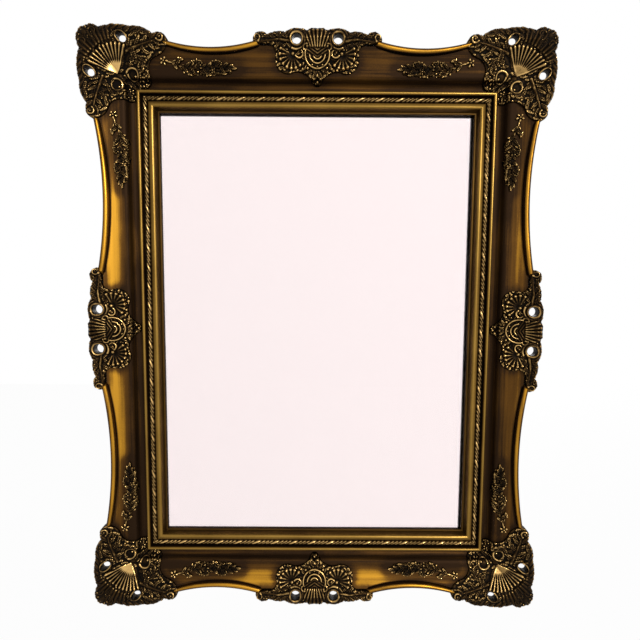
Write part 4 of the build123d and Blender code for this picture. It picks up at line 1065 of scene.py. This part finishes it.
# Place and radius of the flowers and beads inward of the scrolls
corner_flowers = ((82, 66, 5.2), (64, 90, 5.2), (84, 80, 5.0), (52, 86, 4.6))
corner_beads = (
    (70, 56, 1.8), (74, 84, 2.0), (78, 58, 1.6), (60, 82, 1.7),
    (88, 72, 1.6), (44, 92, 1.7), (92, 62, 1.8),
)
for flip in (False, True):
    x, y = (q, p) if flip else (p, q)
    relief = np.maximum(relief, stroke(x, y, arm_spine, 2.6, 4.4, 0.4))
    for (u, v, angle, length) in arm_leaves:
        curl = 0.12 if angle > 90 else -0.12
        relief = np.maximum(relief, leaf(x, y, (u, v), angle, length, 3.1, 4.6, curl))
    relief = np.maximum(relief, stroke(x, y, spiral(volute, 5.2, 300, 1.25), 2.0, 5.0))
    relief = np.maximum(relief, bead(x, y, volute, 2.0, 4.6))
    # Raised collar round the hole, and a scroll that curls beside it
    collar = oval_inside(x, y, hole_place, hole_angle, 11.0, 7.8)
    relief = np.maximum(relief, 4.4 * dome(collar - 2.6, 2.6))
    curl_place = (28.0, 62.0) if flip else (30.0, 50.0)
    relief = np.maximum(relief, stroke(x, y, spiral(curl_place, 6.0, 100, 0.8), 1.7, 4.0))
    for (u, v, size) in corner_flowers:
        relief = np.maximum(relief, flower(x, y, (u, v), size, 4.2, turn=u))
    for (u, v, size) in corner_beads:
        relief = np.maximum(relief, bead(x, y, (u, v), size, 3.8))
    for (u, v, angle, length) in scroll_leaves:
        relief = np.maximum(relief, leaf(x, y, (u, v), angle, length, 2.8, 4.0, 0.1))
print("leaves on the arms and scrolls", 2 * (len(arm_leaves) + len(scroll_leaves)))

# %% Shell and C scrolls
# They lie over everything else, so the shell replaces what is under it, and each scroll has a pit
fan_start, fan_swing, fan_radius, fan_flutes = 196.0, 100.0, 38.0, 11
fan_low, fan_high = 1.2, 7.6
scallop = shell(p, q, hinge, fan_start, fan_swing, fan_radius, fan_flutes, fan_low, fan_high)
in_shell = scallop > 0
relief = np.where(in_shell, scallop, relief)
relief = np.maximum(relief, bead(p, q, (54.5, 64.5), 4.5, 3.0))
for place, start in (((50.5, 76.0), 250.0), ((72.0, 62.0), 200.0)):
    near = np.hypot(p - place[0], q - place[1])
    relief = np.where(near < 8.0, 0.8, relief)
    relief = np.maximum(relief, stroke(p, q, spiral(place, 8.2, start, 0.95, 0.8), 2.0, 4.6, 0.3))
    relief = np.maximum(relief, bead(p, q, (place[0] + 3.4, place[1] + 2.6), 2.0, 4.0))
relief = relief * 0.86
# The hollow at the shell's hinge is the one smooth place, and it is painted lighter gold as a painted
# highlight
hinge_highlight = 0.7 * in_shell * (1 - smooth_step(away, 12.0, 19.0))
print("corner relief to", round(float(relief.max()), 2))

# %% Corner castings
outer_x, outer_z, tallest = 323.9, 410.9, 45.6
skin, edge_radius, wood_line, back_depth, thinnest, bedding = 2.2, 1.6, 25.5, 27.5, 2.0, 0.3
# The right-hand corners keep 0.6 of the hinge's painted highlight, as painted shade on that side
cast_gain, cast_lift, right_highlight_share = 0.6, 0.12, 0.6
corner_top = np.minimum(bed + skin + relief - rounded_edge(inside, edge_radius), tallest)
# Over the wood the casting lies bedded on the cove. Beyond it the back is flat, or just under
# the front where the carving is low
beyond_wood = (p < wood_line) | (q < wood_line)
corner_back = np.minimum(back_depth, corner_top - thinnest)
corner_base = np.where(beyond_wood, corner_back, bed - bedding)
for end, z_sign in (("top", 1), ("bottom", -1)):
    for hand, x_sign in (("right", 1), ("left", -1)):

        def to_corner(u, v, depth):
            """Metres: in from the outer corner along x and z, depth to the front."""
            x, z = x_sign * (outer_x - u), z_sign * (outer_z - v)
            return np.stack([x, -(wall_gap + depth), z], axis=-1) * 0.001

        cast_piece(
            f"shell_corner_{end}_{hand}", p, q, inside, corner_top, corner_base, to_corner,
            f"corner_cartouche_{end}_{hand}", cast_gain, cast_lift,
            hinge_highlight * (1.0 if hand == "left" else right_highlight_share),
        )
print("corners done")

# %% [markdown]
# ## The middles
#
# In the middle of each side two round holes sit inside C scrolls, with combed ribs between them.
# A shield of nested arcs and two small fans lie inward of the holes, the casting ends in a pointed
# tip with three beads, and leaves run out to a volute at each end.

# %% Centre plan
a, w = np.meshgrid(
    np.arange(-89.5, 90.0, carving_step), np.arange(-2.5, 72.0, carving_step), indexing="ij"
)
round_hole, round_hole_radius = (28.0, 13.5), 6.3
m = np.abs(a)
from_hole = np.hypot(m - round_hole[0], w - round_hole[1])
centre_edge = outline_inside(a, w, centre_outline)
centre_inside = np.minimum(centre_edge, from_hole - round_hole_radius)
print("centre grid", a.shape)

# %% Centre ground, edge, ribs and scrolls
# m counts from the middle both ways, so that all but the small leaves is mirrored
carving = 0.5 + 0.35 * np.sin(m / 1.8 + 0.7 * np.sin(w / 2.9)) * np.sin(w / 2.2)
carving = thicket(a, w, carving, (0.0, 30.0), 5.6, 404, 4.4)
# Gadrooned edge beyond the holes
edge_band = dome(centre_edge - 3.6, 4.0) * (w < 20) * smooth_step(m, 12, 18)
lobes = np.abs(np.sin(pi * (m - 0.9 * centre_edge) / 7.6)) ** 0.7
carving = np.maximum(carving, edge_band * (1.0 + 2.6 * lobes))
# Combed ribs in the middle, fanned from the tip
bearing = np.degrees(np.arctan2(m, 44.0 - w))
comb = np.abs(np.cos(pi * bearing / 8.2)) ** 0.7
rib_zone = (1 - smooth_step(m, 14, 18)) * (1 - smooth_step(w, 22, 27)) * np.clip(centre_edge / 3, 0, 1)
carving = np.maximum(carving, rib_zone * (1.2 + 3.0 * comb))
# A collar and a scroll round each hole, and a curl below it
carving = np.maximum(carving, 4.2 * dome(from_hole - 8.6, 2.4))
carving = np.maximum(carving, stroke(m, w, spiral((28.0, 14.5), 12.2, 60, 0.55, 0.85), 2.0, 4.8, 0.4))
carving = np.maximum(carving, stroke(m, w, spiral((15.5, 24.5), 4.6, 250, 0.9), 1.7, 4.6))
print("centre ribs to", round(float(carving.max()), 2))

# %% Centre leaves and fans
centre_spine = [(38.0, 17.0), (52.0, 15.0), (64.0, 16.5), (76.0, 17.5), (84.0, 15.5)]
end_leaves = (
    (40, 14, -35, 13), (42, 20, 35, 15), (48, 13, -30, 12), (51, 19, 40, 13), (56, 14, -28, 12),
    (60, 19, 38, 11), (64, 14, -25, 12), (69, 19, 32, 9), (72, 15, -20, 11), (46, 9, -8, 12),
    (59, 9, 0, 12),
)
carving = np.maximum(carving, stroke(m, w, centre_spine, 2.4, 4.4, 0.35))
for (u, v, angle, length) in end_leaves:
    carving = np.maximum(carving, leaf(m, w, (u, v), angle, length, 2.7, 4.4, 0.1))
carving = np.maximum(carving, stroke(m, w, spiral((81.5, 12.8), 4.6, 120, 1.2), 1.9, 5.0))
# A fan on each side opens to the end of the side
side_fan = shell(m, w, (34.0, 33.0), -35.0, 175.0, 18.5, 8, 1.0, 6.6)
carving = np.where(side_fan > 0, side_fan, carving)
carving = np.maximum(carving, bead(m, w, (33.0, 32.0), 3.0, 4.4))
carving = np.maximum(carving, stroke(m, w, spiral((24.0, 31.0), 6.4, 30, 0.9), 1.8, 4.8))
print("end leaves", 2 * len(end_leaves))

# %% Shield
shield_reach, shield_start = 15.5, 24
# Radius and half width of the nested arcs, and how far in each begins
shield_arcs = ((16.5, 1.5, 26.0), (10.5, 1.3, 31.0), (5.6, 1.2, 33.0))
tip_beads = (
    (0, 47.5, 2.2), (7, 45, 1.9), (13, 49, 2.1), (20, 50, 2.0),
    (27, 51.5, 2.0), (4.6, 62.5, 2.3), (0, 58, 2.6), (0, 65.2, 2.4),
)
tip_leaves = (
    (1, 52, 62, 12), (5, 50, 30, 13), (14, 46, 40, 13),
    (22, 44, 60, 11), (10, 54, 95, 10), (18, 20, 70, 10),
)
from_shield = np.hypot(m, (w - 32.0) * 0.95)
chevrons = 0.6 + 1.9 * np.abs(np.sin((m + 1.6 * w) / 2.1))
carving = np.where((from_shield < shield_reach) & (w > shield_start), chevrons, carving)
for radius, half, start in shield_arcs:
    arc = 4.4 * dome(from_shield - radius, half) * smooth_step(w, start - 3, start + 3)
    carving = np.maximum(carving, arc)
for (u, v, size) in tip_beads:
    carving = np.maximum(carving, bead(m, w, (u, v), size, 4.4))
for (u, v, angle, length) in tip_leaves:
    carving = np.maximum(carving, leaf(m, w, (u, v), angle, length, 2.4, 4.0, -0.1))
carving = carving * 0.85
print("shield arcs", len(shield_arcs), "carving to", round(float(carving.max()), 2))

# %% Centre castings
centre_wood_line = 22.2
for side in sides:
    way = sides[side]
    centre_bed = cove_depth(way["reach"] - centre_inset - w)
    centre_top = centre_bed + skin + carving - rounded_edge(centre_inside, edge_radius)
    centre_back = np.minimum(back_depth, centre_top - thinnest)
    centre_base = np.where(w < centre_wood_line, centre_back, centre_bed - bedding)

    def to_side(u, v, depth):
        """Metres: along the side, in from the ornament's edge, depth to the front."""
        return in_room(side, way["reach"] - centre_inset - v, u, depth)

    cast_piece(
        f"shield_middle_{side}", a, w, centre_inside, centre_top, centre_base, to_side,
        f"centre_cartouche_{side}", cast_gain, cast_lift,
    )
print("middles", a.shape)

# %% [markdown]
# ## The sprays
#
# A flowering twig lies on the cove to each side of every corner: an open rosette, a stem that forks
# into leaves and buds, and a cluster of leaves and berries at its end. Only what stands above the
# cove is kept, so the twig's own outline is cut out of the height field.

# %% Spray plan
spray_step = 0.55
s_along, s_across = np.meshgrid(
    np.arange(-8.0, 101.0, spray_step), np.arange(-13.0, 13.0, spray_step), indexing="ij"
)
stem = [(0, -8), (9, -6.5), (20, -2), (32, 0.5), (46, 1.5), (60, 0.5), (74, -0.5), (88, 0.5), (95, 0)]
branches = (
    [(10, -6), (14, -8.5), (19, -9.5)], [(20, -2), (25, 3), (31, 5.5)], [(30, 0), (36, -4), (43, -6.5)],
    [(44, 1.5), (50, 5), (56, 7)], [(56, 1), (62, -3.5), (68, -6)], [(66, 0), (72, 4), (77, 6)],
)
# Place, direction and length of each leaf
twig_leaves = (
    (12, -6, 50, 10), (17, -3, -55, 9), (19, -9.5, -10, 8), (25, -1, 40, 10), (31, 5.5, 25, 9),
    (29, 0, -45, 10), (37, 1, 55, 9), (43, -6.5, -12, 9), (42, 1, -50, 9), (49, 1.5, -38, 9),
    (56, 7, 12, 9), (53, 1, 50, 9), (60, 0, -60, 8), (68, -6, -15, 9), (64, 0, 48, 8),
    (70, -1, -50, 9), (77, 6, 8, 8), (76, -0.5, 42, 9), (80, -0.5, -42, 9), (85, 0, 32, 8),
    (87, 0, -30, 8), (88, 0, 0, 11),
)
# Place and radius of each flower and each berry
twig_flowers = ((0, -8, 5.6), (50, -2.5, 4.6), (66, 3.5, 4.3), (78, -3.5, 3.6))
berries = (
    (20, -12, 1.5), (33, 8.5, 1.7), (45, -9.5, 1.6), (58, 10.2, 1.5), (38, -7.5, 1.4),
    (46, 5.5, 1.6), (71, -9.0, 1.5), (61, 6.0, 1.4), (84, 5.0, 1.4),
)
print("twig leaves", len(twig_leaves), "flowers", len(twig_flowers), "berries", len(berries))


# %% Spray relief
def spray_relief(x, y):
    """Height of the twig above the cove, x along it from the rosette, y across: the highest wins."""
    height = stroke(x, y, stem, 1.25, 2.6, 0.3)
    for path in branches:
        height = np.maximum(height, stroke(x, y, path, 0.95, 2.4, 0.2))
    for (u, v, angle, length) in twig_leaves:
        height = np.maximum(height, leaf(x, y, (u, v), angle, length * 1.08, 2.8, 4.2, 0.1))
    # Small leaves fill the twig's outline, which narrows to its end
    cluster = thicket(x, y, np.zeros(x.shape), (20.0, 0.0), 4.6, 77, 4.0)
    half_breadth = 9.5 - 3.5 * smooth_step(x, 70, 95)
    height = np.maximum(height, cluster * (np.abs(y - 0.5) < half_breadth) * (x > 26) * (x < 92))
    for (u, v, size) in twig_flowers:
        height = np.maximum(height, flower(x, y, (u, v), size * 1.1, 4.4, turn=u))
    for (u, v, size) in berries:
        height = np.maximum(height, bead(x, y, (u, v), size, 3.2))
    return height


twig = spray_relief(s_along, s_across)
twig_inside = blurred(np.where(twig > 0.05, 1.0, -1.0), 1)
print("twig grid", s_along.shape)

# %% Sprays
twig_gain, twig_lift = 0.5, 0.03
for side in sides:
    way = sides[side]
    spray_bed = cove_depth(way["reach"] - spray_inset - s_across)
    for hand in (-1, 1):
        x, _, z = in_room(side, 0.0, np.array([hand * way["half"]]), 0.0)[0]
        if side in ("top", "bottom"):
            end = "right" if x > 0 else "left"
        else:
            end = "top" if z > 0 else "bottom"

        def to_cove(u, v, depth):
            """Metres: along the side from the corner, across from the twig's line, depth to the front."""
            along = hand * (way["half"] + way["beside"] - spray_start - u)
            return in_room(side, way["reach"] - spray_inset - v, along, depth)

        cast_piece(
            f"twig_{side}_{end}", s_along, s_across, twig_inside, spray_bed + twig,
            spray_bed - bedding, to_cove, f"floral_spray_{side}_rail_{end}",
            twig_gain, twig_lift,
        )
print("twigs", 2 * len(sides))

# %% [markdown]
# ## Behind the frame
#
# The sheets in the rebate, the nails and their solids have the right form already and only need
# their finish. Turn buttons, screws, straps, rings and bumpers are drawn again with rolled edges,
# each on the box of the solid that it stands for.

# %% Sheets and nails
carried = {
    "glass_pane": float_glass,
    "blank_insert": sheet_paper,
    "filler_board": filler_card,
    "backing_board": hardboard,
    "corner_v_nails": zinc_steel,
}
for node, finish in carried.items():
    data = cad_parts[node].data
    data.materials.clear()
    data.materials.append(finish)
print("carried over", len(carried))

# %% [markdown]
# Small fittings are stamped from sheet or turned from wire. A stamped plate has a burr rolled off
# its edges, which catches a thin line of light that a sharp box would miss, and a turned piece is
# its profile carried round an axis.


# %% Stamped and turned pieces
def rounded_rectangle(half_x, half_z, radius, inset, count=8):
    """Points round a rectangle with rounded corners, drawn in by an inset: four quarter circles."""
    turns = np.linspace(0, pi / 2, count)
    size = max(radius - inset, 0.05)
    arcs = []
    for sx, sz, quarter in ((1, 1, 0.0), (-1, 1, pi / 2), (-1, -1, pi), (1, -1, 1.5 * pi)):
        x = sx * (half_x - radius) + size * np.cos(turns + quarter)
        z = sz * (half_z - radius) + size * np.sin(turns + quarter)
        arcs.append(np.stack([x, z], axis=-1))
    return np.concatenate(arcs)


def plate(middle, half_x, half_z, radius, roll, low, high):
    """Points of a flat plate with rolled edges: rows go round it, columns from y low to y high."""
    part = 0.3 * roll
    insets = (roll, part, 0.0, 0.0, part, roll)
    y = np.array([low, low + part, low + roll, high - roll, high - part, high])
    rings = np.stack([rounded_rectangle(half_x, half_z, radius, inset) for inset in insets], axis=1)
    y = y[None, :] * np.ones(rings.shape[:2])
    return np.stack([rings[..., 0] + middle[0], y, rings[..., 1] + middle[1]], axis=-1) * 0.001


stem_points = 5


def turned(middle, profile, segments, recess=None):
    """Points of a turned piece on an axis along y: its profile's radius and y, carried round.

    A recess is cut into the profile's points after the stem's.
    """
    turns = np.linspace(0, 2 * pi, segments, endpoint=False)[:, None]
    radius, y = np.array(profile).T
    x, z = radius[None, :] * np.cos(turns), radius[None, :] * np.sin(turns)
    y = y[None, :] * np.ones_like(x)
    if recess is not None:
        y = y + recess(x, z) * (np.arange(len(radius)) >= stem_points)
    return np.stack([x + middle[0], y, z + middle[1]], axis=-1) * 0.001


def joined(parts):
    """Points, faces and caps of several tubes of one size as one mesh."""
    rows, columns = parts[0].shape[:2]
    count = rows * columns
    quads = np.concatenate([tube_quads(rows, columns) + index * count for index in range(len(parts))])
    caps = [cap + index * count for index in range(len(parts)) for cap in tube_caps(rows, columns)]
    return np.concatenate([part.reshape(-1, 3) for part in parts]), quads, caps


print("points round a plate", len(rounded_rectangle(7.0, 18.5, 4.0, 0.0)))


# %% Turn buttons
def box_of(node):
    """A solid's box in millimetres: its middle and half sizes across and up, and its least and most y."""
    low, high = (np.array(corner) * 1000.0 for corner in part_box(node))
    return (low[[0, 2]] + high[[0, 2]]) / 2, (high[[0, 2]] - low[[0, 2]]) / 2, low[1], high[1]


button_places = []
for number in range(1, 9):
    node = f"turn_button_{number}"
    middle, (half_x, half_z), low_y, high_y = box_of(node)
    button_places.append(middle)
    points = plate(middle, half_x, half_z, min(half_x, half_z) - 0.05, 0.3, low_y, high_y)
    quads, caps = tube_quads(*points.shape[:2]), tube_caps(*points.shape[:2])
    make_piece(
        f"swivel_plate_{number}", points, quads, zinc_steel, [node],
        caps=caps, body=node,
    )
print("buttons", len(button_places))


# %% Screws
def cross_recess(x, z):
    """Depth of a driver's cross in a screw head, with sloped walls and rounded ends."""
    arm_x = smooth_step(0.75 - np.abs(x), 0, 0.35) * smooth_step(2.0 - np.abs(z), 0, 0.6)
    arm_z = smooth_step(0.75 - np.abs(z), 0, 0.35) * smooth_step(2.0 - np.abs(x), 0, 0.6)
    return -0.9 * np.maximum(arm_x, arm_z)


def screw_parts(places, shank, length, head, seat, rise):
    """Screws on an axis along y: a shank, and a head h = rise (1 - (r / R)^4) with its cross."""
    across = np.linspace(head, 0.06, 20)
    top = seat + 0.25 * rise + 0.75 * rise * (1 - (across / head) ** 4)
    tip, shoulder = seat - length, seat - length + 0.6
    stem = [(0.05, tip), (shank * 0.8, tip), (shank, shoulder), (shank, seat), (head, seat)]
    profile = stem + list(zip(across, top))
    return joined([turned(place, profile, 40, cross_recess) for place in places])


strap_x, strap_screw_heights, head_rise = 246.0, (215.0, 235.5), 1.8
points, quads, caps = screw_parts(button_places, 1.5, 11.9, 3.5, -4.1, head_rise)
make_piece(
    "swivel_plate_screws", points, quads, zinc_steel, ["turn_button_screws"], caps=caps
)
strap_screw_places = [(sign * strap_x, height) for sign in (-1, 1) for height in strap_screw_heights]
points, quads, caps = screw_parts(strap_screw_places, 1.7, 9.2, 3.25, -4.8, head_rise)
make_piece("strap_screws", points, quads, nickel_steel, ["hanger_screws"], caps=caps)
print("screw points", len(points))

# %% [markdown]
# A strap hanger is a nickel-plated plate with one end rolled into an eye, and a ring of wire that
# swings in it. The ring is one path with a round section carried along it, and rides on its own
# body, so that it can fold up over the strap.

# %% Ring's path
bar_half, bend_radius, leg_drop, wire_radius = 8.5, 3.0, 11.0, 1.48
bow_radius = bar_half + bend_radius
bend = np.linspace(0, pi / 2, 7)
bow = np.linspace(0, pi, 33)
bar = np.linspace(-bar_half, bar_half, 9)
bend_x, bend_z = bend_radius * np.sin(bend), bend_radius * np.cos(bend)
# A straight bar in the strap's eye, a rounded corner, a leg into a half-round bow, and a corner again
loop = np.concatenate([
    np.stack([bar, np.zeros_like(bar)], axis=-1),
    np.stack([bar_half + bend_x[1:], bend_z[1:] - bend_radius], axis=-1),
    np.stack([bow_radius * np.cos(bow), -leg_drop - bow_radius * np.sin(bow)], axis=-1),
    np.stack([-bar_half - bend_z[:-1], bend_x[:-1] - bend_radius], axis=-1),
])
ahead = np.roll(loop, -1, axis=0) - np.roll(loop, 1, axis=0)
ahead = ahead / np.hypot(ahead[:, 0], ahead[:, 1])[:, None]
print("ring points", len(loop))

# %% Strap hangers and rings
eye_y, eye_z, strap_middle_z = -3.2, 205.0, 223.5
strap_half_x, strap_half_z, strap_low, strap_high = 7.0, 18.5, -6.0, -4.8
# Radius and place along the bar of the sleeve that the strap's end is rolled into
sleeve = np.array([
    (2.6, -6.7), (2.6, 6.7), (2.3, 7.0), (1.9, 7.0), (1.6, 6.7), (1.6, -6.7), (1.9, -7.0), (2.3, -7.0),
])
sleeve_radius, sleeve_place = sleeve.T
sleeve_turns = np.linspace(0, 2 * pi, 32, endpoint=False)[:, None]
wire_turns = np.linspace(0, 2 * pi, 20, endpoint=False)[:, None]
for hand, sign in (("left", -1), ("right", 1)):
    x = sign * strap_x
    middle = (x, strap_middle_z)
    points = plate(middle, strap_half_x, strap_half_z, 4.0, 0.25, strap_low, strap_high)
    quads, caps = tube_quads(*points.shape[:2]), tube_caps(*points.shape[:2])
    make_piece(
        f"strap_plate_{hand}", points, quads, nickel_steel, [f"hanger_strap_{hand}"],
        caps=caps,
    )
    eye = [
        x + sleeve_place * np.ones_like(sleeve_turns),
        eye_y + sleeve_radius * np.cos(sleeve_turns),
        eye_z + sleeve_radius * np.sin(sleeve_turns),
    ]
    quads = tube_quads(32, len(sleeve), closed=True)
    make_piece(f"strap_eye_{hand}", np.stack(eye, axis=-1) * 0.001, quads, nickel_steel)
    wire = [
        x + loop[:, 0] + wire_radius * np.cos(wire_turns) * ahead[:, 1],
        eye_y + wire_radius * np.sin(wire_turns) * np.ones(len(loop)),
        eye_z + loop[:, 1] - wire_radius * np.cos(wire_turns) * ahead[:, 0],
    ]
    quads = tube_quads(20, len(loop), closed=True)
    body = f"hanger_ring_{hand}"
    make_piece(
        f"wire_ring_{hand}", np.stack(wire, axis=-1) * 0.001, quads, nickel_steel,
        [body], body=body, crease=60.0,
    )
print("rings of", len(loop) * 20, "points")

# %% [markdown]
# Two rubber feet keep the lower edge off the wall. They are moulded, so their rim is rounded where
# it meets the wall, and turned from one profile here.

# %% Bumpers
foot_x, foot_z = 245.0, -327.0
foot = [
    (0.05, -6.0), (5.5, -6.0), (5.95, -5.6), (5.95, -5.2), (5.95, -1.4),
    (5.8, -0.8), (5.3, -0.3), (4.4, -0.05), (3.0, 0.0), (0.05, 0.0),
]
points, quads, caps = joined([turned((sign * foot_x, foot_z), foot, 48) for sign in (-1, 1)])
make_piece("rubber_feet", points, quads, bumper_rubber, ["wall_bumpers"], caps=caps)
print("foot points", len(points))
